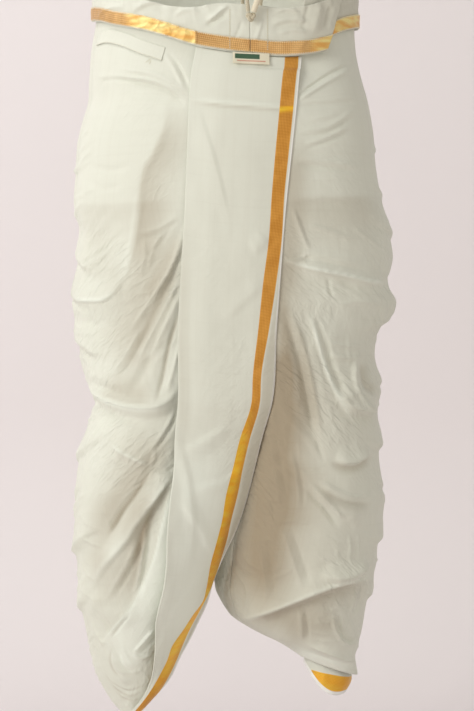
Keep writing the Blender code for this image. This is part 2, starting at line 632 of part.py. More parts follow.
def main():
    for old in list(bpy.data.objects):
        bpy.data.objects.remove(old)
    legs = make_legs()
    tree = surface_tree(legs)
    fall = fall_grid(tree)
    sheet("front_fall", fall, COTTON, WALL, (0, -1, 0))
    make_waistband()
    make_cuff()
    make_welt(tree)
    make_label(surface_tree([fall]))
    make_knot()
    make_cord("drawcord_thick", THICK_CORD_ROUTE, THICK_CORD_RADIUS)
    make_cord("drawcord_thin", THIN_CORD_ROUTE, THIN_CORD_RADIUS)


main()
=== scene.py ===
"""A worn, ready-made dhoti with its looks: thin cotton, zari borders, stitching and drawcord.

Sizes are in millimetres unless a name says otherwise, and become metres when a mesh is made.
-Y is the front, +X is the wearer's left and +Z is up. The origin is the middle of the waist.
"""

import logging
import math
from dataclasses import dataclass, field
from enum import Enum
from typing import Callable, Iterable, NamedTuple, Sequence

import bmesh
import bpy
import numpy as np
from mathutils import Matrix, Vector, noise
from mathutils.bvhtree import BVHTree


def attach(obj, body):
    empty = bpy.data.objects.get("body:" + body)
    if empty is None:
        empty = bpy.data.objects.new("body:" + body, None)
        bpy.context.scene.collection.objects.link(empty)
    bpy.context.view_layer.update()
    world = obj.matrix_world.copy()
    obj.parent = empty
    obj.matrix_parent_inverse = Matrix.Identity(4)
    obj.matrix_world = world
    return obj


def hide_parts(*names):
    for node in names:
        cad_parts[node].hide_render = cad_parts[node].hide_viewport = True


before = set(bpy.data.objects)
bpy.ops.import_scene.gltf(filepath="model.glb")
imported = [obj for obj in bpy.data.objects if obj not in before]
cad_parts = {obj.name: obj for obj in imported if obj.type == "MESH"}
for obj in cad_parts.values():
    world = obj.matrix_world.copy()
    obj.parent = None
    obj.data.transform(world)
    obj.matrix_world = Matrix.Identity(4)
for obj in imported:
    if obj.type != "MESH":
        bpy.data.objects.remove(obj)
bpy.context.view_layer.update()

LOG = logging.getLogger("dhoti")
MM = 0.001
BODY = "root"

Path = Sequence[tuple[float, float]]


def tabulate(kind: type, *values: tuple) -> list:
    """Makes the rows of a table, each of one kind of named tuple."""
    return [kind(*value) for value in values]


class Side(Enum):
    """The wearer's side that a leg is on, as the sign of its X."""

    RIGHT = -1
    LEFT = 1


class Wrap(Enum):
    """A part of the leg's round."""

    FRONT = "front"
    BACK = "back"
    INNER = "inner"


# ---------------------------------------------------------------- the garment's sizes

# Thicknesses of the solids' wall and trim and of the cloth, and the gap between two layers.
WALL, TRIM_WALL, CLOTH, SEAM_GAP = 2.0, 1.2, 0.9, 0.4
# The waist ring's half width and half depth, and how square it is, where 2 is an ellipse.
WAIST_HALF_WIDTH, WAIST_HALF_DEPTH, WAIST_BEND = 170.0, 125.0, 2.2
# The zari tape's width and its height above the seam, and how far out the waistband lies.
ZARI_WIDTH, ZARI_RISE, BAND_LIFT = 18.0, 1.5, 2.8
# How far a leg's top is tucked under the waistband, and the level where its rings are level.
SEAM_TUCK, SEAM_FADE = 12.0, -170.0
# Where the back's seam starts to turn into the front's, in degrees before the overlap's end,
# and the angle at which the front's own table begins.
SEAM_BLEND, FRONT_BEGINS = 8.0, 24.0
# The level where the legs part, and how far below it neither yet crosses the middle.
CROTCH_LEVEL, CROTCH_BAND = -380.0, 60.0
# Distances from the centre seam up to which the cloth is held, and beyond which it is free.
SEAM_PINNED = (4.0, 16.0)
# Distances below the waist at which the large folds and the creases begin and are full.
FOLDS_BEGIN, FOLDS_FULL = 60.0, 110.0
CREASES_BEGIN, CREASES_FULL = 24.0, 70.0
# How far cloth faces a view where that view's large folds, creases and side folds begin to
# show and are full.
FACING_MAIN, FACING_FINE, FACING_SIDE = (0.05, 0.6), (0.05, 0.5), (0.55, 0.95)
# Shares of a fold's length over which its ends fade.
FOLD_ENDS = (-0.05, 0.25)
# How much the creases are strengthened, and the height of those that the back repeats.
CREASE_GAIN, BIG_CREASE = 1.2, 2.4
# How far over the middle a crease may begin and still be a leg's own.
CENTRE_OVERLAP = 20.0
# How far inside the front fall's two edges it flattens the creases, and over what width.
COVER_START, COVER_END, COVER_FADE = 6.0, 4.0, 8.0
# The distance between two wrinkles, the length of one, and how softly they turn at the side.
WRINKLE_WIDTH, WRINKLE_RUN, SIDE_ROUNDING = 26.0, 150.0, 30.0
# The size of the patches where wrinkles are strong, and of the slight crumple.
PATCH_SIZE, CRUMPLE_SIZE = 120.0, 34.0
# How the right hem curves, where 1 is straight, and its border's upper edge and width.
HEM_BOW, HEM_GOLD_RISE, HEM_GOLD_WIDTH = 1.4, 3.0, 8.5
# The front fall's distance from the legs, the level below which it hangs free of the seam,
# how far up and down it feels for the cloth behind it, and its deepest dent.
FALL_CLEARANCE, FALL_TOP_FADE, FALL_REACH, FALL_DENT = 2.0, -110.0, 12.0, -1.6
# The distance between two gathers, and the radius that turns an angle into a distance.
GATHER_PITCH, GATHER_RADIUS = 17.0, 150.0
# Half the distance between an upright seam's two rows, and the label's size.
TWIN_SEAM = 0.45
LABEL_WIDTH, LABEL_HEIGHT = 48.0, 15.0
# The most that painted highlight brightens a place, and the border's mark on cloth with none.
BRIGHTEST, NO_BORDER = -0.25, -9.0
# Where rays start, how many angles half a ring has, and how close points are joined.
AHEAD, SECTION_SAMPLES, MERGE = -400.0, 181, 0.02 * MM
FORWARDS, BACKWARDS = (0, -1, 0), (0, 1, 0)


class Edge(NamedTuple):
    """A leg's outer edge seen from the front.

    Args:
        level: its height.
        x: how far out it is.
    """

    level: float
    x: float


RIGHT_OUTLINE = tabulate(
    Edge,
    (20, 170), (-15, 170), (-40, 174), (-94, 178), (-122, 179), (-148, 187), (-176, 194),
    (-216, 197), (-263, 200), (-304, 192), (-340, 196), (-387, 206), (-429, 196), (-479, 192),
    (-531, 176), (-575, 188), (-648, 201), (-742, 198), (-794, 194), (-844, 184), (-898, 171),
    (-932, 151), (-953, 134),
)
LEFT_OUTLINE = tabulate(
    Edge,
    (20, 170), (-15, 170), (-54, 172), (-94, 179), (-122, 186), (-176, 195), (-216, 199),
    (-275, 211), (-333, 224), (-373, 219), (-392, 227), (-417, 213), (-467, 200), (-505, 211),
    (-536, 205), (-567, 207), (-606, 207), (-655, 215), (-709, 207), (-742, 205), (-805, 190),
    (-855, 181), (-872, 176), (-896, 180),
)


class Section(NamedTuple):
    """One ring of a leg.

    Args:
        level: its height at the outer side.
        ridge: how far out its deepest line is.
        inner: how far out its inner edge is.
        front: its depth in front.
        back: its depth behind.
        bend_out: how square its outer half is, where 2 is an ellipse.
        bend_in: how square its inner half is.
        rise: how much higher its inner edge is than its outer side.
        seam: the angle from the outer side at which its front ends.
    """

    level: float
    ridge: float
    inner: float
    front: float
    back: float
    bend_out: float
    bend_in: float
    rise: float
    seam: float


UPPER_SECTIONS = tabulate(
    Section,
    (20, 0, 0, 125, 125, 2.2, 3.0, 0, 90), (-22, 0, 0, 125, 125, 2.2, 3.0, 0, 90),
    (-72, 0, 0, 133, 139, 2.3, 3.0, 0, 90), (-140, 0, 0, 139, 154, 2.3, 3.0, 0, 90),
    (-260, 0, 0, 142, 160, 2.3, 3.2, 0, 90), (-380, 3, 0.15, 140, 156, 2.3, 3.6, 0, 90),
    (-470, 52, 4, 138, 152, 2.3, 3.2, 0, 97),
)
RIGHT_SECTIONS = UPPER_SECTIONS + tabulate(
    Section,
    (-560, 86, 4, 134, 148, 2.3, 2.6, 0, 132), (-650, 96, 10, 128, 144, 2.3, 2.3, 0, 140),
    (-742, 100, 18, 116, 134, 2.2, 2.2, 2, 145), (-800, 104, 22, 104, 120, 2.2, 2.1, 24, 148),
    (-860, 106, 25, 86, 99, 2.1, 2.0, 77, 150), (-910, 102, 27, 68, 75, 2.0, 2.0, 123, 150),
    (-953, 85, 29, 50, 54, 2.0, 2.0, 161, 150),
)
LEFT_SECTIONS = UPPER_SECTIONS + tabulate(
    Section,
    (-560, 92, 1, 134, 150, 2.3, 2.2, 0, 132), (-650, 104, -5, 130, 146, 2.3, 2.1, 0, 140),
    (-742, 106, -12, 120, 138, 2.2, 2.0, 2, 145), (-800, 110, -7, 108, 124, 2.2, 2.0, 10, 148),
    (-830, 118, 10, 98, 110, 2.1, 2.0, 14, 150), (-855, 130, 39, 84, 92, 2.0, 2.0, 20, 150),
    (-875, 139, 74, 67, 72, 2.0, 2.0, 23, 150), (-896, 141, 101, 47, 50, 2.0, 2.0, 27, 150),
)


class CuffRing(NamedTuple):
    """A ring of the lower layer that shows under the left hem.

    Args:
        outer_level: its height at the outer side.
        outer_x: how far out that side is.
        inner_level: its height at the inner side.
        inner_x: how far out that side is.
        front: its depth in front.
        back: its depth behind.
        sag: how far it hangs down between the two sides.
    """

    outer_level: float
    outer_x: float
    inner_level: float
    inner_x: float
    front: float
    back: float
    sag: float


LEFT_CUFF = tabulate(
    CuffRing,
    (-872, 171, -852, 110, 40, 42, 0), (-888, 171, -862, 109, 39, 41, 4),
    (-904, 172, -871, 108, 38, 40, 10), (-919, 165, -879, 107, 36, 38, 17),
)


class Seam(NamedTuple):
    """The waist seam at one place round the waist.

    Args:
        angle: the place's angle in degrees, where 90 is the front.
        level: the seam's height.
        height: the waistband's height above it.
    """

    angle: float
    level: float
    height: float


FRONT_SEAM = tabulate(
    Seam,
    (44, -57, 70), (56, -68, 70), (68, -75, 66), (79, -77, 63), (90, -74, 64), (101, -69, 61),
    (112, -62, 50), (123, -51, 42), (134, -41, 41), (145, -34, 44), (156, -28, 46), (167, -21, 48),
    (180, -16, 50),
)
BACK_SEAM = tabulate(
    Seam,
    (-180, -16, 50), (-135, -2, 56), (-90, 4, 60), (-45, -10, 60), (0, -28, 60), (35, -37, 62),
    (44, -42, 64), (53, -50, 64), (70, -64, 64),
)
# Angles round the waist in degrees: the fly and half its slit, the right side seam and its
# slit, the overlap's end and how far it leans, and the back's end that it covers.
FLY_ANGLE, FLY_HALF_SLIT = 90.0, 0.04
SIDE_ANGLE, SIDE_SLIT = 177.0, 0.2
OVERLAP_ANGLE, OVERLAP_LEAN, BACK_ANGLE = 56.5, -12.5, 68.0
# How far out the overlap's end lies, and the shares of its length over which it rises.
OVERLAP_LIFT, OVERLAP_RAMP = 4.6, (0.25, 0.6)


class Turn(NamedTuple):
    """The wearer's slight turn at one height.

    Args:
        level: the height.
        shear: how far the front moves across, for each millimetre of depth.
    """

    level: float
    shear: float


TURN = [Turn(60, 0.27), Turn(-150, 0.25), Turn(-400, 0.12), Turn(-700, 0.04), Turn(-960, 0.0)]


class Fall(NamedTuple):
    """A row of the front fall.

    Args:
        level: its height.
        start: its left edge.
        end: its right edge.
        turn: how far back the right edge turns.
        bend: how late in the row it turns back.
    """

    level: float
    start: float
    end: float
    turn: float
    bend: float


FRONT_FALL = tabulate(
    Fall,
    (-40, -35, 102, 0, 2.0), (-104, -42, 98.5, 0, 2.0), (-192, -46, 90, 2, 2.0),
    (-287, -50, 80, 4, 2.4), (-354, -54, 75, 7, 3.0), (-436, -58, 69, 10, 3.0),
    (-529, -58, 63, 13, 3.0), (-576, -62, 50, 15, 3.0), (-610, -63, 42, 17, 3.0),
    (-654, -68, 31, 19, 3.0), (-699, -72, 16, 21, 3.2), (-735, -73, -1, 22, 3.4),
    (-768, -77, -14, 20, 3.4), (-796, -84, -22, 16, 3.0), (-816, -88, -31, 12, 2.6),
    (-843, -89, -44, 10, 2.4), (-869, -91, -58, 9, 2.2), (-896, -96, -71, 8, 2.0),
    (-929, -113, -99, 4, 2.0), (-947, -129, -115, 2, 2.0),
)


class Border(NamedTuple):
    """The zari border on the front fall at one height.

    Args:
        level: the height.
        inner: the border's left edge.
        outer: its right edge.
    """

    level: float
    inner: float
    outer: float


FALL_BORDER = tabulate(
    Border,
    (-40, 80, 98), (-82, 78, 96), (-142, 73, 91), (-200, 67.5, 85), (-259, 62.5, 79),
    (-317, 58.5, 75.5), (-375, 51, 68), (-433, 45, 59), (-493, 38, 49), (-529, 36, 47),
    (-576, 21, 34), (-610, 13, 26), (-650, 3, 18), (-682, -2, 10), (-710, -9, 4), (-740, -17, -5),
    (-774, -23, -16.5), (-790, -27, -24), (-810, -41, -34.5), (-830, -54, -45), (-850, -68, -54),
    (-870, -75, -62), (-890, -85, -71.5), (-911, -97, -84), (-932, -112, -102), (-947, -124, -117),
)


# ---------------------------------------------------------------- curves and folds


def smooth(at: np.ndarray, knots: Sequence[float], values: Sequence[float]) -> np.ndarray:
    """Reads a smooth curve through a table's values.

    Args:
        at: the places to read it at.
        knots: the places that the table gives.
        values: the value at each of them.

    Returns:
        The value at each place, held at the table's ends.
    """
    order = np.argsort(knots)
    knots = np.asarray(knots, float)[order]
    values = np.asarray(values, float)[order]
    slope = np.gradient(values, knots)
    at = np.clip(np.asarray(at, float), knots[0], knots[-1])
    low = np.clip(np.searchsorted(knots, at) - 1, 0, len(knots) - 2)
    span = knots[low + 1] - knots[low]
    t = (at - knots[low]) / span
    start = values[low] * (1 + 2 * t) * (1 - t) ** 2 + slope[low] * span * t * (1 - t) ** 2
    end = values[low + 1] * t * t * (3 - 2 * t) + slope[low + 1] * span * t * t * (t - 1)
    return start + end


def column(table: Sequence, name: str, at: np.ndarray) -> np.ndarray:
    """Reads one named column of a table at places in its first column."""
    return smooth(at, [row[0] for row in table], [getattr(row, name) for row in table])


def ease(value: np.ndarray, low: float, high: float) -> np.ndarray:
    """Rises smoothly from 0 at low to 1 at high."""
    t = np.clip((np.asarray(value, float) - low) / (high - low), 0.0, 1.0)
    return t * t * (3 - 2 * t)


def distances(points: np.ndarray) -> np.ndarray:
    """How far each of a line's points is from its start, along the line."""
    step = np.linalg.norm(np.diff(points, axis=0), axis=1)
    return np.concatenate([[0.0], np.cumsum(step)])


def resample(places: np.ndarray, knots: np.ndarray, points: np.ndarray) -> np.ndarray:
    """Reads a line, whose points lie at knots, straight between them at other places."""
    return np.stack([np.interp(places, knots, line) for line in points.T], axis=-1)


def shear(level: np.ndarray) -> np.ndarray:
    """How far the wearer's turn moves a ring at this level, for each millimetre of depth."""
    return column(TURN, "shear", level)


def seam_level(angle: np.ndarray) -> np.ndarray:
    """Height of the waist seam round the waist, with its two overlapping ends blended.

    Args:
        angle: angles round the waist in degrees, where 90 is the front.

    Returns:
        The seam's level at each.
    """
    angle = np.asarray(angle, float)
    front = column(FRONT_SEAM, "level", angle)
    back = column(BACK_SEAM, "level", np.where(angle > FLY_ANGLE, angle - 360.0, angle))
    share = ease(angle, OVERLAP_ANGLE - SEAM_BLEND, BACK_ANGLE)
    return np.where(angle >= FRONT_BEGINS, back + (front - back) * share, back)


def ring_point(angle: np.ndarray, level: np.ndarray, lift: np.ndarray) -> np.ndarray:
    """A point of the waist ring.

    Args:
        angle: its angle in degrees.
        level: its height.
        lift: how far out from the ring it is.

    Returns:
        The point.
    """
    turn = np.radians(angle)
    power = 2.0 / WAIST_BEND
    across = np.sign(np.cos(turn)) * np.abs(np.cos(turn)) ** power
    deep = np.sign(np.sin(turn)) * np.abs(np.sin(turn)) ** power
    y = -(WAIST_HALF_DEPTH + lift) * deep
    x = (WAIST_HALF_WIDTH + lift) * across - shear(level) * y
    return np.stack([x, y, np.broadcast_to(level, x.shape)], axis=-1)


def front_angle(x: np.ndarray) -> np.ndarray:
    """The angle at which the front of the waist ring passes a place seen from the front."""
    probe = np.linspace(180.0, 0.0, 181)
    return np.interp(x, ring_point(probe, np.zeros(181), 0.0)[:, 0], probe)


def fold_path(points: Path, steps: int = 8) -> np.ndarray:
    """A smooth line through a fold's few points.

    Args:
        points: the points.
        steps: how many steps the line has from one of them to the next.

    Returns:
        The line's points.
    """
    points = np.asarray(points, float)
    along = np.arange(len(points), dtype=float)
    fine = np.linspace(0, len(points) - 1, steps * (len(points) - 1) + 1)
    return np.stack([smooth(fine, along, points[:, i]) for i in (0, 1)], axis=-1)


@dataclass(frozen=True)
class Fold:
    """A ridge or trough of cloth along a line.

    Args:
        height: how far it stands out, or below zero how deep it is.
        rise: its width on the left of its line, as the line runs.
        fall: its width on the right.
        path: the line, as places across and up.
        crisp: 0 for a round crest and 1 for a pinched one.
        sag: how far the crest hangs down over what is below it.
    """

    height: float
    rise: float
    fall: float
    path: Path
    crisp: float = 0.0
    sag: float = 0.0

    def bump(self, u: np.ndarray, z: np.ndarray) -> np.ndarray:
        """How much of the fold's height each place has.

        Args:
            u: the places' distances across.
            z: their heights.

        Returns:
            A share from 0 to 1 for each.
        """
        path = fold_path(self.path)
        reach = max(self.rise, self.fall)
        low, high = path.min(0) - reach, path.max(0) + reach
        found = np.zeros(len(u))
        near = (u > low[0]) & (u < high[0]) & (z > low[1]) & (z < high[1])
        if not near.any():
            return found
        start = path[:-1]
        run = path[1:] - start
        length = np.maximum(np.linalg.norm(run, axis=1), 1e-6)
        heading = run / length[:, None]
        spot = np.stack([u[near], z[near]], axis=-1)[:, None, :] - start
        along = np.clip((spot * heading).sum(-1), 0.0, length)
        off = spot - along[..., None] * heading
        away = np.linalg.norm(off, axis=-1)
        pick = away.argmin(-1)[:, None]
        side = off[..., 0] * heading[:, 1] - off[..., 1] * heading[:, 0]
        begin = np.concatenate([[0.0], np.cumsum(length)[:-1]])
        share = np.take_along_axis(along + begin, pick, -1)[:, 0] / length.sum()
        away = np.take_along_axis(away, pick, -1)[:, 0]
        right = np.take_along_axis(side, pick, -1)[:, 0] > 0
        t = np.clip(away / np.where(right, self.fall, self.rise), 0.0, 1.0)
        crest = (1 - self.crisp) * (0.5 + 0.5 * np.cos(np.pi * t)) + self.crisp * (1 - t) ** 2
        found[near] = crest * ease(share, *FOLD_ENDS) * ease(1 - share, *FOLD_ENDS)
        return found

    def turned(self, mirror: bool, across: float, up: float, size: float = 1.0) -> "Fold":
        """The same fold moved to a hidden side.

        Args:
            mirror: whether left and right change places.
            across: how far it moves across.
            up: how far it moves up.
            size: how much larger it becomes.

        Returns:
            The new fold.
        """
        flip = -1.0 if mirror else 1.0
        path = [(flip * u * size + across, z + up) for u, z in self.path]
        rise, fall = (self.fall, self.rise) if mirror else (self.rise, self.fall)
        return Fold(self.height * size, rise, fall, path, self.crisp, self.sag)


# A spray's creases: their scatter and crispness, the shares of the guide lines where they
# begin and end, their widths and heights as shares of the usual, and how lopsided they are.
SPRAY_SCATTER, SPRAY_CRISP = 0.4, 0.6
SPRAY_BEGINS, SPRAY_ENDS = (0.0, 0.35), (0.6, 1.0)
SPRAY_WIDTHS, SPRAY_HEIGHTS, SPRAY_LEANS = (0.7, 1.4), (0.4, 1.25), (0.5, 1.0)


@dataclass(frozen=True)
class Spray:
    """Several like creases that lie between two guide lines of as many points.

    Args:
        count: how many there are.
        height: the middle one's height.
        width: the middle one's width.
        first: the guide line on one side.
        last: the guide line on the other.
        seed: the seed of their unevenness.
    """

    count: int
    height: float
    width: float
    first: Path
    last: Path
    seed: int

    def folds(self) -> list[Fold]:
        """Draws the creases, each with a length, height and width of its own.

        Returns:
            The creases.
        """
        chance = np.random.default_rng(self.seed)
        first, last = np.asarray(self.first, float), np.asarray(self.last, float)
        made = []
        for share in (np.arange(self.count) + 0.5) / self.count:
            aside = chance.uniform(-SPRAY_SCATTER, SPRAY_SCATTER) / self.count
            share = float(np.clip(share + aside, 0, 1))
            line = fold_path(first * (1 - share) + last * share, 4)
            begin = int(chance.uniform(*SPRAY_BEGINS) * len(line))
            end = max(int(chance.uniform(*SPRAY_ENDS) * len(line)), begin + 3)
            width = self.width * chance.uniform(*SPRAY_WIDTHS)
            height = self.height * chance.uniform(*SPRAY_HEIGHTS)
            lean = chance.uniform(*SPRAY_LEANS)
            made.append(Fold(height, width, width * lean, line[begin:end], SPRAY_CRISP))
        return made


@dataclass(frozen=True)
class Relief:
    """All the folds of one side of the cloth.

    Args:
        folds: the folds.
    """

    folds: Sequence[Fold]

    def lift(self, u: np.ndarray, z: np.ndarray) -> np.ndarray:
        """How far the folds together move each place out."""
        return sum((fold.height * fold.bump(u, z) for fold in self.folds), np.zeros(len(u)))

    def drop(self, u: np.ndarray, z: np.ndarray) -> np.ndarray:
        """How far the folds that overhang move each place down."""
        hung = [fold for fold in self.folds if fold.sag]
        return sum((fold.sag * fold.bump(u, z) for fold in hung), np.zeros(len(u)))


def crumple(points: np.ndarray, seed: float, octaves: int = 1) -> np.ndarray:
    """Smooth noise at points.

    Args:
        points: the points, in units of the noise's own size.
        seed: moves the noise, so that each use has its own.
        octaves: how many finer layers it has.

    Returns:
        A number from -1 to 1 for each point.
    """
    shift = Vector((seed, seed * 1.7, seed * 0.6))
    flat = points.reshape(-1, 3)
    if octaves == 1:
        found = [noise.noise(Vector(point) + shift) for point in flat]
    else:
        found = [noise.fractal(Vector(point) + shift, 1.0, 2.0, octaves) for point in flat]
    return np.array(found).reshape(points.shape[:-1])


# ---------------------------------------------------------------- the main folds

# A fold's numbers are its height, its widths left and right of its line, the line, its
# crispness and its sag. In the table of painted light on the legs the height is how much
# painted shade shows, in the warm colour that also stands for a single layer showing
# through, and below zero how much painted highlight shows.

MAIN_FRONT = [
    Fold(11, 60, 20, [(-186, -475), (-166, -513), (-122, -530), (-86, -531), (-57, -506)], 0.35, 3),
    Fold(-2, 15, 16, [(-56, -350), (-75, -385), (-101, -430), (-122, -470)]),
    Fold(-2, 15, 16, [(-50, -291), (-88, -347), (-106, -372)]),
    Fold(-2, 13, 15, [(-58, -420), (-70, -460), (-84, -520)]),
    Fold(-3, 14, 16, [(-126, -109), (-100, -116), (-70, -129), (-48, -137)]),
    Fold(4, 30, 20, [(-146, -589), (-117, -602), (-96, -609)]),
    Fold(-4, 16, 16, [(-104, -615), (-130, -655), (-156, -699)]),
    Fold(7, 30, 26, [(-65, -621), (-91, -652), (-110, -684), (-140, -728), (-172, -773)]),
    Fold(-2.5, 20, 12, [(-80, -650), (-98, -690), (-108, -735), (-116, -775)]),
    Fold(4, 34, 24, [(-176, -780), (-158, -800), (-132, -806), (-117, -790)], 0.1, 1),
    Fold(6, 30, 16, [(97, -344), (115, -350), (156, -356), (191, -368), (212, -364)], 0.2, 2),
    Fold(-4, 18, 18, [(96, -446), (108, -511), (122, -575)]),
    Fold(-3, 14, 14, [(124, -446), (148, -510), (168, -547)]),
    Fold(9, 34, 14, [(150, -505), (164, -528), (180, -534), (204, -536)], 0.2, 3),
    Fold(5, 26, 14, [(146, -600), (170, -603), (192, -590)], 0.2, 2),
    Fold(6, 26, 14, [(119, -639), (144, -659), (181, -685)], 0.2, 2),
    Fold(5, 24, 14, [(128, -754), (160, -754), (192, -744)], 0.2, 2),
    Fold(9, 30, 18, [(25, -814), (67, -798), (112, -778), (150, -764), (190, -760)], 0.2, 2),
]
MAIN_BACK = [
    Fold(10, 46, 18, [(-182, -300), (-130, -345), (-70, -350), (-20, -318)], 0.2, 3),
    Fold(12, 50, 18, [(-186, -450), (-132, -505), (-72, -508), (-18, -470)], 0.2, 3),
    Fold(10, 44, 18, [(-188, -600), (-138, -655), (-80, -660), (-34, -628)], 0.2, 3),
    Fold(8, 36, 16, [(-176, -736), (-136, -776), (-86, -778), (-50, -752)], 0.2, 2),
    Fold(10, 46, 18, [(20, -330), (72, -362), (136, -350), (196, -300)], 0.2, 3),
    Fold(12, 50, 18, [(22, -480), (76, -518), (140, -508), (196, -440)], 0.2, 3),
    Fold(10, 44, 18, [(28, -620), (84, -664), (146, -655), (200, -596)], 0.2, 3),
    Fold(8, 36, 16, [(40, -745), (90, -778), (146, -768), (190, -728)], 0.2, 2),
]

# ---------------------------------------------------------------- the fine creases

FACET = [(-71, -140), (-76, -173), (-90, -206), (-101, -224), (-107, -256), (-112, -290),
         (-117, -320), (-124, -343), (-131, -365)]
RIGHT_HIP = [
    Fold(2.6, 9, 5, [(-173, -92), (-152, -97), (-98, -105), (-68, -117), (-46, -137)], 0.5),
    Fold(-2.2, 4, 6, [(-165, -107), (-150, -98), (-98, -111), (-70, -123), (-48, -143)], 0.5),
    Fold(2.0, 7, 5, [(-137, -88), (-98, -96), (-70, -108), (-44, -127)], 0.5),
    Fold(-1.6, 4, 5, [(-135, -94), (-98, -102), (-70, -114), (-44, -133)], 0.5),
    Fold(-1.8, 4, 5, [(-76, -62), (-58, -90), (-45, -120)], 0.6),
    Fold(1.6, 6, 5, [(-82, -64), (-64, -92), (-50, -122)], 0.4),
    Fold(-1.8, 4, 4, [(-188, -342), (-172, -335), (-148, -322)], 0.6),
    Fold(1.5, 5, 5, [(-188, -348), (-170, -342), (-148, -328)], 0.5),
    Fold(-1.2, 8, 8, [(-178, -214), (-150, -222), (-120, -218)], 0.3),
    Fold(-1.0, 8, 8, [(-184, -232), (-160, -246), (-130, -242)], 0.3),
    Fold(5, 28, 6, [(-208, -386), (-187, -391), (-157, -391), (-141, -380), (-130, -362)], 0.4, 3),
    Fold(1.3, 8, 40, FACET, 0.2),
]
RIGHT_THIGH = [
    Fold(-1.8, 3.5, 4, [(-112, -313), (-87, -308), (-58, -291)], 0.6),
    Fold(1.4, 5, 4, [(-112, -307), (-87, -302), (-58, -285)], 0.5),
    Fold(1.8, 4.5, 4.5, [(-104, -315), (-102, -335), (-108, -364)], 0.6),
    Fold(3.4, 7, 6, [(-50, -300), (-60, -330), (-71, -358), (-102, -407), (-124, -438)], 0.6),
    Fold(2.4, 5, 4, [(-51, -316), (-64, -348), (-80, -376), (-94, -396)], 0.7),
    Fold(-2.6, 5, 5, [(-52, -326), (-66, -358), (-84, -388)], 0.6),
    Fold(-1.6, 4, 4, [(-66, -296), (-84, -322), (-104, -340)], 0.6),
    Fold(-2.0, 6, 6, [(-56, -346), (-70, -372), (-93, -416), (-109, -449)], 0.5),
    Fold(2.2, 4, 5, [(-54, -362), (-68, -388), (-88, -428), (-112, -476)], 0.7),
    Fold(-1.8, 4, 4, [(-54, -372), (-64, -394), (-82, -432), (-100, -474)], 0.6),
    Fold(1.8, 4, 4, [(-80, -306), (-92, -330), (-98, -352)], 0.6),
    Fold(-2.6, 4, 4, [(-100, -432), (-118, -466), (-136, -496)], 0.7),
    Fold(2.0, 5, 4, [(-108, -430), (-126, -464), (-142, -490)], 0.6),
    Fold(2.4, 8, 8, [(-55, -384), (-68, -412), (-82, -440), (-94, -466)], 0.4),
    Fold(-3.0, 4, 5, [(-56, -405), (-70, -450), (-78, -488), (-86, -526)], 0.7),
    Fold(2.2, 5, 4, [(-54, -436), (-62, -474), (-74, -514)], 0.6),
    Fold(-2.6, 12, 10, [(-92, -462), (-108, -494), (-121, -514)], 0.2),
    Fold(3.6, 6, 5, [(-192, -468), (-185, -497), (-158, -516), (-123, -528), (-90, -530),
                     (-69, -521), (-56, -505)], 0.5, 1.5),
    Fold(-3.0, 12, 4, [(-174, -498), (-150, -508), (-122, -517), (-96, -519)], 0.4),
    Fold(1.6, 4, 4, [(-193, -458), (-186, -466), (-181, -478)], 0.6),
    Fold(-1.6, 4, 4, [(-188, -452), (-181, -462), (-178, -472)], 0.6),
    Fold(-1.2, 4, 4, [(-148, -546), (-141, -539), (-132, -532)], 0.6),
    Fold(-1.0, 10, 10, [(-186, -412), (-168, -430), (-150, -452)], 0.2),
]
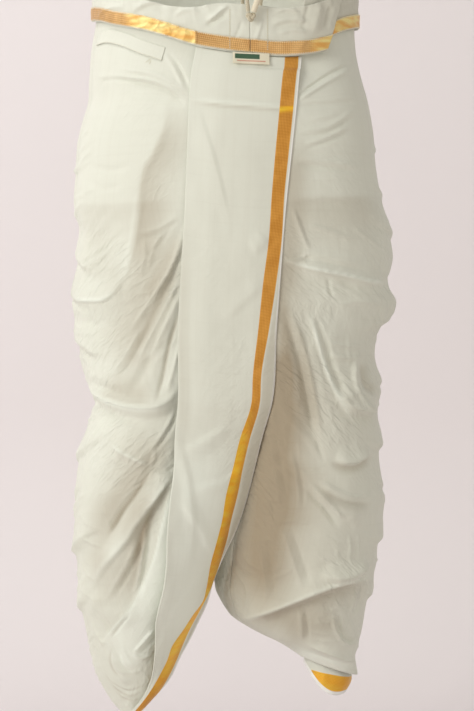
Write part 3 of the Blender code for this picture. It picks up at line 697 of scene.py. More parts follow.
RIGHT_SHIN = [
    Fold(-2.8, 3.5, 4.5, [(-58, -530), (-64, -552), (-78, -575), (-92, -594)], 0.7),
    Fold(2.0, 5, 4, [(-64, -540), (-72, -556), (-86, -578), (-98, -592)], 0.6),
    Fold(2.8, 5, 4, [(-148, -583), (-114, -602), (-94, -610)], 0.6),
    Fold(2.2, 4, 4, [(-96, -612), (-91, -602), (-88, -588)], 0.6),
    Fold(-2.2, 4, 4, [(-94, -614), (-76, -617), (-60, -607)], 0.6),
    Fold(-1.4, 8, 6, [(-150, -590), (-128, -606), (-112, -618)], 0.3),
    Fold(2.6, 4, 14, [(-100, -611), (-119, -640), (-138, -666), (-158, -700)], 0.5),
    Fold(-3.4, 6, 3.5, [(-94, -616), (-113, -645), (-132, -670), (-152, -704)], 0.5),
    Fold(-2.2, 3.5, 3.5, [(-183, -708), (-173, -703), (-164, -700)], 0.7),
    Fold(1.4, 5, 5, [(-160, -664), (-152, -680), (-146, -700)], 0.5),
    Fold(4.4, 4, 24, [(-64, -616), (-89, -655), (-111, -686), (-125, -710), (-150, -742),
                      (-172, -772)], 0.5),
    Fold(-3.2, 14, 5, [(-70, -634), (-92, -670), (-108, -700), (-122, -728)], 0.3),
    Fold(3.0, 5, 6, [(-106, -695), (-126, -741), (-153, -788)], 0.6),
    Fold(-2.4, 5, 4, [(-101, -700), (-120, -744), (-145, -788)], 0.5),
    Fold(3.4, 5, 5, [(-99, -670), (-105, -720), (-110, -752), (-118, -788)], 0.6),
    Fold(-2.2, 5, 5, [(-93, -672), (-97, -716), (-104, -756), (-112, -792)], 0.5),
    Fold(5.5, 90, 5, [(-64, -622), (-80, -684), (-91, -732), (-113, -785), (-127, -808),
                      (-164, -850)], 0.3),
    Fold(6, 10, 36, [(-60, -610), (-66, -655), (-72, -740), (-80, -785), (-89, -827), (-94, -860)]),
    Fold(-2.6, 4, 4, [(-120, -800), (-132, -818), (-148, -838)], 0.6),
    Fold(2.8, 5, 4, [(-92, -826), (-104, -842), (-118, -859)], 0.6),
    Fold(-2.8, 4, 4, [(-87, -831), (-98, -847), (-112, -861)], 0.6),
    Fold(2.2, 4, 4, [(-120, -860), (-108, -867), (-95, -861)], 0.6),
    Fold(1.8, 5, 4, [(-148, -862), (-142, -880), (-126, -895)], 0.6),
    Fold(-1.8, 4, 5, [(-140, -858), (-134, -876), (-120, -888)], 0.6),
    Fold(1.6, 5, 5, [(-176, -820), (-168, -838), (-156, -850)], 0.5),
    Fold(-1.4, 5, 5, [(-170, -800), (-156, -816), (-150, -834)], 0.5),
]
LEFT_HIP = [
    Fold(2.4, 6, 4, [(96, -136), (134, -110), (170, -88)], 0.5),
    Fold(-2.2, 4, 4, [(96, -129), (132, -103), (168, -81)], 0.5),
    Fold(-1.6, 5, 9, [(96, -142), (141, -138), (178, -131)], 0.3),
    Fold(1.7, 6, 5, [(100, -174), (136, -168), (172, -144)], 0.5),
    Fold(-1.7, 4, 6, [(100, -181), (136, -175), (172, -151)], 0.5),
    Fold(1.6, 6, 5, [(104, -193), (134, -182), (166, -166)], 0.5),
    Fold(-1.6, 4, 5, [(104, -199), (134, -188), (166, -172)], 0.5),
    Fold(1.8, 8, 4, [(94, -211), (144, -215), (180, -220)], 0.4),
    Fold(-2.2, 4, 7, [(94, -218), (144, -222), (180, -227)], 0.5),
    Fold(-1.6, 6, 18, [(88, -268), (139, -266), (202, -262)], 0.3),
    Fold(2.6, 4, 5, [(90, -274), (101, -305), (112, -332)], 0.6),
    Fold(2.2, 4, 4, [(112, -333), (98, -341), (80, -345)], 0.6),
    Fold(2.2, 5, 4, [(108, -297), (136, -304), (168, -315)], 0.6),
    Fold(1.8, 5, 4, [(168, -299), (186, -310), (210, -327)], 0.5),
    Fold(3.6, 5, 6, [(80, -343), (110, -350), (162, -360), (190, -366), (218, -370)], 0.6, 1.5),
    Fold(-2.8, 9, 4, [(86, -335), (112, -341), (160, -350), (190, -356)], 0.4),
    Fold(-1.8, 3.5, 4, [(135, -365), (138, -378), (142, -391)], 0.6),
    Fold(1.4, 5, 5, [(150, -400), (176, -396), (206, -398)], 0.4),
]
LEFT_THIGH = [
    Fold(3.2, 5, 10, [(86, -405), (100, -441), (113, -492), (129, -575)], 0.5),
    Fold(-2.8, 5, 8, [(78, -410), (91, -445), (104, -495), (119, -575)], 0.4),
    Fold(3.4, 6, 5, [(112, -410), (126, -460), (145, -510), (168, -548)], 0.6),
    Fold(-2.8, 7, 5, [(120, -415), (134, -458), (153, -507), (176, -543)], 0.5),
    Fold(2.2, 6, 5, [(132, -466), (156, -470), (182, -468)], 0.4),
    Fold(-4, 12, 8, [(182, -476), (187, -506), (206, -518)], 0.4),
    Fold(3.6, 6, 6, [(173, -462), (172, -500), (184, -531), (208, -534)], 0.5),
    Fold(3.0, 12, 4, [(150, -505), (163, -528), (182, -537), (206, -540)], 0.5, 1.5),
    Fold(-1.8, 5, 5, [(121, -572), (126, -592), (132, -606)], 0.6),
    Fold(3.0, 10, 4, [(144, -600), (170, -603), (194, -588)], 0.5, 1.5),
    Fold(-2.6, 4, 10, [(140, -606), (168, -611), (194, -597)], 0.4),
    Fold(1.8, 5, 4, [(56, -560), (66, -610), (76, -668)], 0.6),
    Fold(-1.6, 4, 4, [(64, -556), (74, -606), (84, -660)], 0.6),
    Fold(1.4, 4, 4, [(88, -590), (96, -630), (98, -668)], 0.6),
    Fold(-1.4, 4, 4, [(96, -600), (103, -636), (104, -664)], 0.6),
    Fold(-1.4, 4, 4, [(98, -615), (116, -616), (132, -614)], 0.6),
]
LEFT_SHIN = [
    Fold(3.6, 5, 5, [(112, -632), (136, -656), (160, -684)], 0.6),
    Fold(-2.8, 5, 6, [(106, -640), (128, -662), (150, -690)], 0.5),
    Fold(2.2, 5, 4, [(122, -628), (160, -648), (194, -654)], 0.5),
    Fold(-2.4, 4, 7, [(122, -636), (158, -656), (194, -662)], 0.5),
    Fold(-1.2, 4, 4, [(64, -684), (90, -688), (116, -688)], 0.6),
    Fold(2.4, 6, 6, [(76, -690), (90, -730), (104, -772)], 0.5),
    Fold(-2.0, 6, 5, [(86, -688), (100, -726), (114, -768)], 0.5),
    Fold(1.8, 3.5, 3.5, [(164, -702), (166, -718), (165, -736)], 0.6),
    Fold(1.6, 3.5, 3.5, [(175, -700), (177, -718), (176, -734)], 0.6),
    Fold(3.4, 12, 4, [(128, -752), (160, -754), (196, -742)], 0.5),
    Fold(-2.8, 4, 8, [(126, -760), (158, -762), (194, -751)], 0.5),
    Fold(2.8, 9, 5, [(18, -822), (67, -799), (115, -776), (152, -763), (194, -760)], 0.7, 1),
    Fold(-3.2, 4, 9, [(60, -810), (112, -787), (150, -773), (186, -770)], 0.4),
    Fold(2.8, 5, 5, [(98, -796), (102, -818), (103, -844)], 0.6),
    Fold(-2.4, 5, 5, [(106, -798), (110, -820), (111, -842)], 0.5),
    Fold(-3.0, 5, 5, [(150, -806), (154, -826), (164, -842), (184, -844)], 0.6),
    Fold(3.0, 5, 5, [(143, -806), (147, -828), (160, -848), (182, -851)], 0.6),
    Fold(-2.4, 4, 4, [(178, -772), (180, -790), (173, -806)], 0.6),
    Fold(2.6, 5, 5, [(170, -776), (171, -792), (165, -808)], 0.6),
    Fold(1.8, 4, 4, [(24, -722), (34, -740), (50, -748)], 0.6),
    Fold(-1.8, 4, 4, [(8, -730), (26, -752), (46, -760)], 0.6),
    Fold(2.2, 5, 4, [(6, -744), (28, -768), (32, -800)], 0.6),
    Fold(1.8, 5, 5, [(46, -700), (52, -740), (60, -800)], 0.4),
    Fold(-1.6, 5, 5, [(56, -700), (62, -744), (70, -796)], 0.4),
    Fold(3.2, 8, 3.5, [(108, -848), (134, -858), (158, -870), (178, -878)], 0.6, 1.5),
    Fold(-2.0, 4, 4, [(112, -858), (138, -868), (160, -879)], 0.6),
]
SPRAYS = [
    Spray(9, -1.3, 4, [(-168, -896), (-140, -908), (-102, -898)],
          [(-152, -932), (-136, -942), (-114, -930)], 3),
    Spray(5, 0.9, 5, [(-60, -560), (-100, -600), (-150, -640)],
          [(-60, -640), (-96, -690), (-140, -760)], 5),
    Spray(5, 1.0, 5, [(-52, -290), (-90, -340), (-130, -400)],
          [(-58, -470), (-84, -500), (-118, -522)], 8),
    Spray(5, 0.8, 5, [(96, -420), (114, -480), (128, -560)],
          [(186, -430), (180, -470), (176, -500)], 13),
    Spray(6, 0.9, 5, [(20, -640), (60, -640), (110, -640)],
          [(30, -780), (70, -770), (120, -740)], 17),
    Spray(5, 0.8, 5, [(100, -120), (140, -106), (176, -94)],
          [(96, -250), (140, -244), (186, -250)], 19),
    Spray(6, 1.0, 4.5, [(110, -780), (140, -776), (176, -778)],
          [(110, -840), (136, -846), (176, -846)], 23),
    Spray(7, 0.9, 4.5, [(56, -520), (66, -580), (76, -650)],
          [(100, -520), (106, -580), (112, -640)], 27),
    Spray(6, 1.5, 4, [(-150, -872), (-128, -884), (-100, -878)],
          [(-136, -926), (-122, -930), (-104, -914)], 33),
    Spray(5, 1.2, 4, [(-196, -660), (-180, -680), (-150, -690)],
          [(-190, -780), (-172, -792), (-150, -790)], 35),
    Spray(5, 1.2, 4, [(130, -430), (150, -436), (196, -440)],
          [(150, -500), (160, -506), (180, -500)], 39),
    Spray(6, 0.9, 4.5, [(-184, -820), (-172, -850), (-164, -880)],
          [(-130, -840), (-124, -862), (-112, -884)], 29),
]
# Painted shade and painted highlight on the legs' fronts, partly standing for single layers showing
# through.
LEG_PAINTED_LIGHT_AND_LAYERS = [
    Fold(0.30, 56, 7, FACET),
    Fold(0.10, 34, 34, [(-168, -290), (-162, -370)]),
    Fold(-0.20, 4, 12, [(-107, -256), (-112, -290), (-117, -320), (-126, -352), (-134, -372)]),
    Fold(-0.22, 8, 8, [(-204, -390), (-180, -392), (-152, -390), (-138, -378)]),
    Fold(0.16, 9, 9, [(-56, -346), (-70, -372), (-93, -416), (-110, -450), (-136, -496)]),
    Fold(0.20, 60, 60, [(-76, -300), (-90, -400), (-120, -480)]),
    Fold(0.22, 60, 60, [(-90, -560), (-120, -640), (-140, -720)]),
    Fold(0.14, 56, 56, [(-118, -340), (-130, -420), (-140, -480)]),
    Fold(0.10, 8, 70, [(-205, -268), (-150, -271), (-60, -268)]),
    Fold(0.16, 20, 14, [(-54, -300), (-76, -350), (-104, -396)]),
    Fold(0.30, 3.5, 4.5, [(-56, -405), (-70, -450), (-78, -488), (-86, -526)]),
    Fold(0.22, 34, 3, [(-158, -512), (-122, -523), (-90, -525)]),
    Fold(-0.22, 5, 8, [(-190, -472), (-184, -499), (-157, -519), (-123, -531), (-90, -533),
                       (-69, -524), (-56, -508)]),
    Fold(0.14, 20, 20, [(-60, -560), (-90, -600), (-130, -640), (-150, -680)]),
    Fold(-0.16, 4, 4, [(-148, -583), (-114, -602), (-94, -610)]),
    Fold(0.30, 6, 3, [(-96, -616), (-115, -645), (-134, -670), (-154, -704)]),
    Fold(-0.18, 3, 12, [(-64, -616), (-89, -655), (-111, -686), (-125, -710), (-172, -772)]),
    Fold(0.30, 12, 5, [(-66, -622), (-92, -668), (-106, -700), (-120, -750)]),
    Fold(0.30, 12, 34, [(-92, -640), (-104, -690), (-112, -730), (-124, -790)]),
    Fold(0.16, 30, 30, [(-150, -640), (-160, -700), (-164, -760)]),
    Fold(-0.40, 30, 10, [(-62, -640), (-72, -700), (-84, -750), (-104, -796), (-130, -830)]),
    Fold(-0.30, 26, 18, [(-92, -800), (-112, -840), (-136, -880)]),
    Fold(-0.30, 60, 3, [(-62, -615), (-80, -684), (-91, -732), (-113, -785), (-127, -808),
                        (-166, -852)]),
    Fold(-0.12, 30, 30, [(-110, -812), (-130, -850), (-140, -880)]),
    Fold(0.14, 46, 46, [(-112, -460), (-118, -500), (-122, -520)]),
    Fold(0.12, 40, 40, [(-156, -720), (-152, -760), (-146, -800)]),
    Fold(0.16, 50, 50, [(104, -600), (100, -650), (96, -700)]),
    Fold(0.12, 30, 30, [(80, -830), (112, -816), (150, -806)]),
    Fold(0.26, 14, 22, [(74, -372), (79, -420), (82, -470), (80, -530)]),
    Fold(0.24, 1.5, 4, [(-158, -890), (-146, -903), (-126, -911), (-104, -903)]),
    Fold(-0.16, 4, 1.5, [(-156, -893), (-145, -906), (-126, -914), (-106, -907)]),
    Fold(0.24, 1.5, 3.5, [(-151, -903), (-139, -914), (-124, -919), (-108, -912)]),
    Fold(0.22, 1.5, 3, [(-145, -915), (-133, -923), (-121, -926), (-110, -921)]),
    Fold(0.20, 2, 4, [(-147, -852), (-150, -868), (-147, -882), (-138, -893)]),
    Fold(0.20, 2, 5, [(-106, -826), (-118, -842), (-122, -856)]),
    Fold(0.30, 3.5, 3.5, [(-120, -800), (-148, -838)]),
    Fold(0.20, 16, 80, [(84, -272), (139, -269), (208, -266)]),
    Fold(0.40, 34, 20, [(96, -180), (88, -250), (82, -330), (74, -400)]),
    Fold(0.22, 60, 76, [(76, -340), (74, -420), (70, -520)]),
    Fold(0.70, 70, 76, [(72, -450), (66, -540), (58, -600), (50, -680), (40, -780), (40, -830)]),
    Fold(0.22, 130, 60, [(84, -420), (80, -560), (76, -700), (70, -830), (70, -860)]),
    Fold(-0.30, 3, 5, [(80, -343), (110, -350), (162, -360), (190, -366), (218, -370)]),
    Fold(0.15, 4, 30, [(86, -405), (100, -441), (113, -492), (129, -575)]),
    Fold(-0.20, 5, 5, [(112, -410), (126, -460), (145, -510), (168, -548)]),
    Fold(0.20, 12, 10, [(183, -474), (188, -504), (204, -516)]),
    Fold(0.25, 4, 14, [(140, -606), (168, -611), (194, -597)]),
    Fold(0.20, 4, 16, [(122, -636), (158, -656), (196, -662)]),
    Fold(-0.14, 5, 2, [(18, -821), (67, -798), (115, -775), (152, -762), (194, -759)]),
    Fold(-0.35, 12, 14, [(95, -858), (130, -872), (172, -884)]),
    Fold(0.22, 34, 34, [(70, -836), (120, -826), (160, -826)]),
    Fold(0.30, 2, 40, [(30, -822), (67, -803), (115, -780), (152, -767), (194, -764)]),
]
OUTER_FOLDS = [
    Fold(7, 40, 14, [(-110, -470), (-40, -448), (40, -438), (120, -452)], 0.3, 3),
    Fold(6, 34, 14, [(-120, -372), (-40, -340), (50, -318), (130, -300)], 0.3, 3),
    Fold(6, 34, 14, [(-110, -560), (-40, -590), (50, -604), (120, -598)], 0.3, 3),
    Fold(6, 34, 14, [(-100, -690), (-30, -720), (50, -730), (110, -722)], 0.3, 3),
    Fold(5, 30, 12, [(-80, -772), (-20, -800), (40, -806), (90, -790)], 0.3, 2),
    Fold(-3, 8, 10, [(-100, -410), (-20, -396), (60, -380)], 0.4),
    Fold(-3, 8, 10, [(-60, -520), (10, -532), (90, -520)], 0.4),
    Fold(-3, 8, 10, [(-60, -642), (10, -668), (90, -660)], 0.4),
    Fold(2.5, 9, 7, [(-60, -190), (0, -214), (70, -212)], 0.5),
    Fold(2.5, 9, 7, [(-40, -262), (30, -276), (100, -258)], 0.5),
]
OUTER_SPRAYS = [
    Spray(9, 1.6, 7, [(-110, -420), (-20, -412), (80, -400)],
          [(-110, -560), (-20, -580), (100, -590)], 31),
    Spray(8, 1.5, 7, [(-90, -610), (0, -640), (90, -640)],
          [(-80, -760), (0, -790), (80, -780)], 37),
    Spray(6, 1.2, 6, [(-70, -120), (0, -150), (80, -150)],
          [(-90, -320), (0, -320), (100, -300)], 41),
    Spray(7, 1.3, 5, [(-60, -830), (0, -850), (60, -840)],
          [(-40, -900), (0, -910), (40, -900)], 43),
]


# ---------------------------------------------------------------- making meshes


def link(name: str, mesh: bmesh.types.BMesh, material: bpy.types.Material) -> bpy.types.Object:
    """Makes a smooth-shaded object of a bmesh, at the origin, and frees the bmesh.

    Args:
        name: the object's name.
        mesh: the bmesh.
        material: its finish.

    Returns:
        The object.
    """
    data = bpy.data.meshes.new(name)
    mesh.to_mesh(data)
    mesh.free()
    data.shade_smooth()
    data.materials.append(material)
    piece = bpy.data.objects.new(name, data)
    bpy.context.scene.collection.objects.link(piece)
    return piece


def lay_grid(mesh: bmesh.types.BMesh, grid: np.ndarray, marks: dict[str, np.ndarray]) -> None:
    """Adds a sheet of cloth to a bmesh, with its UV map in metres of cloth.

    Args:
        mesh: the bmesh.
        grid: rows of points, in millimetres.
        marks: numbers kept at each point, by name. "across" and "along" become the UV map.
    """
    rows, columns = grid.shape[:2]
    chart = mesh.loops.layers.uv.get("UVMap") or mesh.loops.layers.uv.new("UVMap")
    kept = {name: mesh.verts.layers.float.get(name) or mesh.verts.layers.float.new(name)
            for name in marks if name not in ("across", "along")}
    made = bmesh.ops.create_grid(mesh, x_segments=columns - 1, y_segments=rows - 1, size=1.0)
    places = {}
    for vert in made["verts"]:
        j = round((vert.co.x + 1) / 2 * (columns - 1))
        i = round((vert.co.y + 1) / 2 * (rows - 1))
        vert.co = Vector(grid[i, j]) * MM
        places[vert] = (i, j)
        for name, layer in kept.items():
            vert[layer] = float(marks[name][i, j])
    for vert, (i, j) in places.items():
        uv = (float(marks["across"][i, j]) * MM, float(marks["along"][i, j]) * MM)
        for loop in vert.link_loops:
            loop[chart].uv = uv


def face_towards(mesh: bmesh.types.BMesh, way: Sequence[float]) -> None:
    """Turns all faces over if on the whole they look away from a direction.

    Args:
        mesh: the bmesh.
        way: the direction.
    """
    mesh.normal_update()
    looks = sum((face.normal * face.calc_area() for face in mesh.faces), Vector())
    if looks.dot(Vector(way)) < 0:
        bmesh.ops.reverse_faces(mesh, faces=mesh.faces)


def face_outwards(mesh: bmesh.types.BMesh) -> None:
    """Turns all faces of a tube out from its own upright axis.

    Args:
        mesh: the bmesh.
    """
    mesh.normal_update()
    middle = sum((vert.co for vert in mesh.verts), Vector()) / len(mesh.verts)
    total = 0.0
    for face in mesh.faces:
        away = face.calc_center_median() - middle
        total += face.normal.dot(Vector((away.x, away.y, 0.0))) * face.calc_area()
    if total < 0:
        bmesh.ops.reverse_faces(mesh, faces=mesh.faces)


def thicken(piece: bpy.types.Object, thickness: float) -> None:
    """Gives a sheet its thickness, inwards from its outer face.

    Args:
        piece: the sheet.
        thickness: the thickness.
    """
    wall = piece.modifiers.new("Cloth", "SOLIDIFY")
    wall.thickness = thickness * MM
    wall.offset = -1.0
    wall.use_rim = True


def sheet(name: str, grid: np.ndarray, marks: dict[str, np.ndarray], finish: bpy.types.Material,
          wall: float = CLOTH, way: Sequence[float] = FORWARDS) -> bpy.types.Object:
    """Makes a piece of one sheet of cloth.

    Args:
        name: the piece's name.
        grid: rows of points of its outer face, in millimetres.
        marks: numbers kept at each point, by name.
        finish: its finish.
        wall: its thickness.
        way: the direction that it faces.

    Returns:
        The piece.
    """
    mesh = bmesh.new()
    lay_grid(mesh, grid, marks)
    face_towards(mesh, way)
    piece = link(name, mesh, finish)
    thicken(piece, wall)
    return piece


def run_lengths(grid: np.ndarray) -> tuple[np.ndarray, np.ndarray]:
    """Distances along the rows and down the columns of a grid.

    Args:
        grid: rows of points.

    Returns:
        Each point's distance from its row's start, and from its column's start.
    """
    across = np.linalg.norm(np.diff(grid, axis=1), axis=2).cumsum(axis=1)
    along = np.linalg.norm(np.diff(grid, axis=0), axis=2).cumsum(axis=0)
    across = np.concatenate([np.zeros((len(grid), 1)), across], axis=1)
    along = np.concatenate([np.zeros((1, grid.shape[1])), along], axis=0)
    return across, along


def grid_tree(grids: Iterable[np.ndarray]) -> BVHTree:
    """The surface of several grids, to lay another piece on.

    Args:
        grids: grids of points, in millimetres.

    Returns:
        The surface, ready for rays.
    """
    points: list[Vector] = []
    faces: list[tuple[int, ...]] = []
    for grid in grids:
        rows, columns = grid.shape[:2]
        base = len(points)
        points += [Vector(point) for point in grid.reshape(-1, 3)]
        for i in range(rows - 1):
            for j in range(columns - 1):
                corner = base + i * columns + j
                faces.append((corner, corner + 1, corner + columns + 1, corner + columns))
    return BVHTree.FromPolygons(points, faces)


def front_depth(tree: BVHTree, x: float, z: float) -> float | None:
    """Depth of the foremost cloth at a place seen from the front, or None beside it."""
    hit = tree.ray_cast(Vector((x, AHEAD, z)), Vector((0.0, 1.0, 0.0)))[0]
    return None if hit is None else hit.y


def declare(piece: bpy.types.Object, slot: str, *nodes: str) -> None:
    """Rides a piece on the garment, hides the solids that it stands for and logs its finish's slot.

    Args:
        piece: the piece.
        slot: its finish's slot.
        nodes: the solids.
    """
    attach(piece, BODY)
    if nodes:
        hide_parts(*nodes)
    LOG.info("made %s with the %s finish", piece.name, slot)


# ---------------------------------------------------------------- the legs


# How the folds of one side are turned to make those of a hidden one.
MIRRORED = (True, 0.0, 26.0, 1.02)
REPEATED = (False, -6.0, -34.0, 0.98)
SWAPPED = (True, 10.0, 22.0, 1.0)
# Heights between which the wrinkles change, as distances below the waist.
KNEE_BAND, SHIN_BAND = (250, 500), (650, 850)
WRINKLE_BAND, CRUMPLE_BAND = (240, 470), (150, 400)


@dataclass
class Leg:
    """One leg of the dhoti, from the waist seam to the ankle.

    Args:
        side: whose leg it is.
        cotton: its finish.
        front_rows: how many rings its front has.
        front_columns: how many points round its front has.
        back_rows: how many rings its back and its inner side have.
        back_columns: how many points round its back has.
        inner_columns: how many points round its inner side has.
        face: its front's points, once made.
    """

    side: Side
    cotton: bpy.types.Material
    front_rows: int = 390
    front_columns: int = 126
    back_rows: int = 280
    back_columns: int = 60
    inner_columns: int = 25
    face: np.ndarray = field(default_factory=lambda: np.zeros((0, 0, 3)))

    @property
    def sections(self) -> list[Section]:
        """The leg's table of rings."""
        return LEFT_SECTIONS if self.side is Side.LEFT else RIGHT_SECTIONS

    def ring(self, level: float) -> tuple[np.ndarray, np.ndarray, np.ndarray, float]:
        """Fine outline of one ring.

        Args:
            level: its level.

        Returns:
            Angles from the outer side, points, outward directions and the seam's angle.
        """
        side = self.side.value
        outline = LEFT_OUTLINE if self.side is Side.LEFT else RIGHT_OUTLINE
        outer = side * column(outline, "x", level)
        shape = {name: float(column(self.sections, name, level)) for name in Section._fields[1:]}
        ridge = side * max(shape["ridge"], 0.0)
        inner = side * shape["inner"]
        if level > CROTCH_LEVEL - CROTCH_BAND:
            inner = side * max(shape["inner"], 0.0)
        angle = np.linspace(-180.0, 180.0, 2 * SECTION_SAMPLES - 1)
        turn = np.radians(angle)
        outward = np.cos(turn) >= 0
        power = 2.0 / np.where(outward, shape["bend_out"], shape["bend_in"])
        across = np.abs(np.cos(turn)) ** power
        x = np.where(outward, ridge + (outer - ridge) * across, ridge + (inner - ridge) * across)
        deep = np.sign(np.sin(turn)) * np.abs(np.sin(turn)) ** power
        y = -np.where(turn > 0, shape["front"], shape["back"]) * deep
        bow = HEM_BOW if self.side is Side.RIGHT else 1.0
        share = np.clip((x - outer) / (inner - outer), 0.0, 1.0)
        z = level + shape["rise"] * share ** bow
        round_waist = angle if self.side is Side.LEFT else 180.0 - angle
        round_waist = np.where(round_waist > 180.0, round_waist - 360.0, round_waist)
        z = z + (seam_level(round_waist) + SEAM_TUCK) * ease(level, SEAM_FADE, 0.0)
        x = x - shear(level) * y
        points = np.stack([x, y, z], axis=-1)
        tangent = np.gradient(points[:, :2], axis=0)
        tangent /= np.maximum(np.linalg.norm(tangent, axis=1), 1e-9)[:, None]
        normals = side * np.stack([-tangent[:, 1], tangent[:, 0], np.zeros(len(x))], axis=-1)
        return angle, points, normals, shape["seam"]

    def panel(self, levels: np.ndarray, columns: int, part: Wrap) -> tuple[np.ndarray, ...]:
        """Rings of one part of the leg's round.

        Args:
            levels: their levels.
            columns: how many points each has.
            part: the part.

        Returns:
            The points, their outward directions and their distances round from the outer side.
        """
        rings, outs, rounds = [], [], []
        for level in levels:
            angle, points, normals, seam = self.ring(float(level))
            length = distances(points[:, :2])
            outer_side = np.interp(0.0, angle, length)
            if part is Wrap.INNER:
                angle = np.concatenate([angle, angle[1:] + 360.0])
                length = np.concatenate([length, length[1:] + length[-1]])
                points = np.concatenate([points, points[1:]])
                normals = np.concatenate([normals, normals[1:]])
            start, end = {Wrap.FRONT: (0.0, seam), Wrap.BACK: (-seam, 0.0),
                          Wrap.INNER: (seam, 360.0 - seam)}[part]
            place = np.linspace(*np.interp([start, end], angle, length), columns)
            rings.append(resample(place, length, points))
            out = resample(place, length, normals)
            outs.append(out / np.linalg.norm(out, axis=1)[:, None])
            rounds.append(place - outer_side)
        return np.array(rings), np.array(outs), np.array(rounds)

    def main_folds(self, ring: np.ndarray, out: np.ndarray, levels: np.ndarray) -> np.ndarray:
        """How far the large folds move each point of the rings out.

        Args:
            ring: the rings' points.
            out: their outward directions.
            levels: the rings' levels.

        Returns:
            The distances.
        """
        x, z = ring[..., 0].ravel(), ring[..., 2].ravel()
        facing = out[..., 1].ravel()
        total = ease(-facing, *FACING_MAIN) * Relief(MAIN_FRONT).lift(x, z)
        total += ease(facing, *FACING_MAIN) * Relief(MAIN_BACK).lift(x, z)
        return total.reshape(ring.shape[:2]) * ease(-levels, FOLDS_BEGIN, FOLDS_FULL)[:, None]

    def fine_folds(self) -> tuple[Relief, Relief, Relief]:
        """Sorts out this leg's creases.

        Returns:
            Those seen from the front, from the back and from the outer side.
        """
        right = RIGHT_HIP + RIGHT_THIGH + RIGHT_SHIN
        left = LEFT_HIP + LEFT_THIGH + LEFT_SHIN
        sprayed = [fold for spray in SPRAYS for fold in spray.folds()]
        keep = self.side.value
        seen = right + left + sprayed
        front = [fold for fold in seen if fold.path[0][0] * keep > -CENTRE_OVERLAP]
        # The hidden side has the like of what the other leg shows in front.
        back = [fold.turned(*MIRRORED) for fold in seen]
        back = [fold for fold in back if fold.path[0][0] * keep > -CENTRE_OVERLAP]
        large = [fold for fold in front if fold.height > BIG_CREASE]
        back += [fold.turned(*REPEATED) for fold in large]
        outer = OUTER_FOLDS + [fold for spray in OUTER_SPRAYS for fold in spray.folds()]
        if self.side is Side.LEFT:
            outer = [fold.turned(*SWAPPED) for fold in outer]
        return Relief(front), Relief(back), Relief(outer)

    def dress(self, ring: np.ndarray, out: np.ndarray, around: np.ndarray,
              levels: np.ndarray) -> tuple[np.ndarray, np.ndarray]:
        """Adds the large folds, the creases and the cloth's unevenness to some rings.

        Args:
            ring: the rings' points.
            out: their outward directions.
            around: their distances round from the outer side.
            levels: the rings' levels.

        Returns:
            The points, and the painted shade and highlight at each, with single layers showing
            through.
        """
        shape = ring.shape[:2]
        x, y, z = (ring[..., i].ravel() for i in range(3))
        nx, ny = out[..., 0].ravel() * self.side.value, out[..., 1].ravel()
        front, back, outer = self.fine_folds()
        in_front, behind = ease(-ny, *FACING_FINE), ease(ny, *FACING_FINE)
        beside = ease(nx, *FACING_SIDE)
        fine = in_front * front.lift(x, z) + behind * back.lift(x, z)
        fine = CREASE_GAIN * fine + beside * outer.lift(y, z)
        drop = in_front * Relief(MAIN_FRONT).drop(x, z) + in_front * front.drop(x, z)
        drop += behind * Relief(MAIN_BACK).drop(x, z) + beside * outer.drop(y, z)
        fine += self.unevenness(around.ravel(), z, x, y)
        begins = ease(-np.repeat(levels, shape[1]), CREASES_BEGIN, CREASES_FULL)
        fine = self.under_fall(fine, x, z, ny) * begins
        main = self.main_folds(ring, out, levels).ravel()
        # At the crotch and along the centre seams the two legs meet edge to edge.
        centre = 1.0 - ease(np.abs(x + shear(z) * y), *SEAM_PINNED)
        free = 1.0 - centre * ease(z, CROTCH_LEVEL - 45.0, CROTCH_LEVEL - 5.0)
        total = ((main + fine) * free).reshape(shape)
        points = ring + out * total[..., None]
        points[..., 2] -= (drop * begins).reshape(shape)
        return points, self.tone(x, z, in_front).reshape(shape)

    def unevenness(self, around: np.ndarray, z: np.ndarray, x: np.ndarray,
                   y: np.ndarray) -> np.ndarray:
        """Long soft wrinkles that slant down to the outer side, and a slight crumple.

        Args:
            around: the points' distances round from the outer side.
            z: their heights.
            x: their places across.
            y: their depths.

        Returns:
            How far out each point moves.
        """
        away = np.sqrt(around ** 2 + SIDE_ROUNDING ** 2)
        slope = 0.75 + 0.45 * ease(-z, *KNEE_BAND) - 0.5 * ease(-z, *SHIN_BAND)
        across, along = (z - slope * away), (slope * z + away)
        spots = np.stack([across / WRINKLE_WIDTH, along / WRINKLE_RUN, np.zeros(len(z))], axis=-1)
        wrinkle = 1.0 - 2.6 * np.abs(crumple(spots, 4.0 + self.side.value))
        where = crumple(np.stack([x, y, z], axis=-1) / PATCH_SIZE, 9.0 + self.side.value)
        strength = (0.3 + 0.7 * ease(-z, *WRINKLE_BAND)) * np.clip(0.55 + 1.6 * where, 0.0, 1.3)
        small = crumple(np.stack([x, y, z * 0.8], axis=-1) / CRUMPLE_SIZE, 2.0, 2)
        return wrinkle * strength + 0.9 * small * (0.5 + 0.5 * ease(-z, *CRUMPLE_BAND))

    def under_fall(self, fine: np.ndarray, x: np.ndarray, z: np.ndarray,
                   ny: np.ndarray) -> np.ndarray:
        """Presses the creases flat where the front fall lies over the leg.

        Args:
            fine: the creases' heights.
            x: the points' places across.
            z: their heights.
            ny: their outward directions' depth.

        Returns:
            The pressed heights.
        """
        start = column(FRONT_FALL, "start", z) + COVER_START
        end = column(FRONT_FALL, "end", z) - COVER_END
        covered = ease(x, start - COVER_FADE, start) * ease(-x, -end - COVER_FADE, -end)
        covered = covered * (ny < 0)
        return fine * (1 - covered) + np.minimum(fine, 0.0) * covered

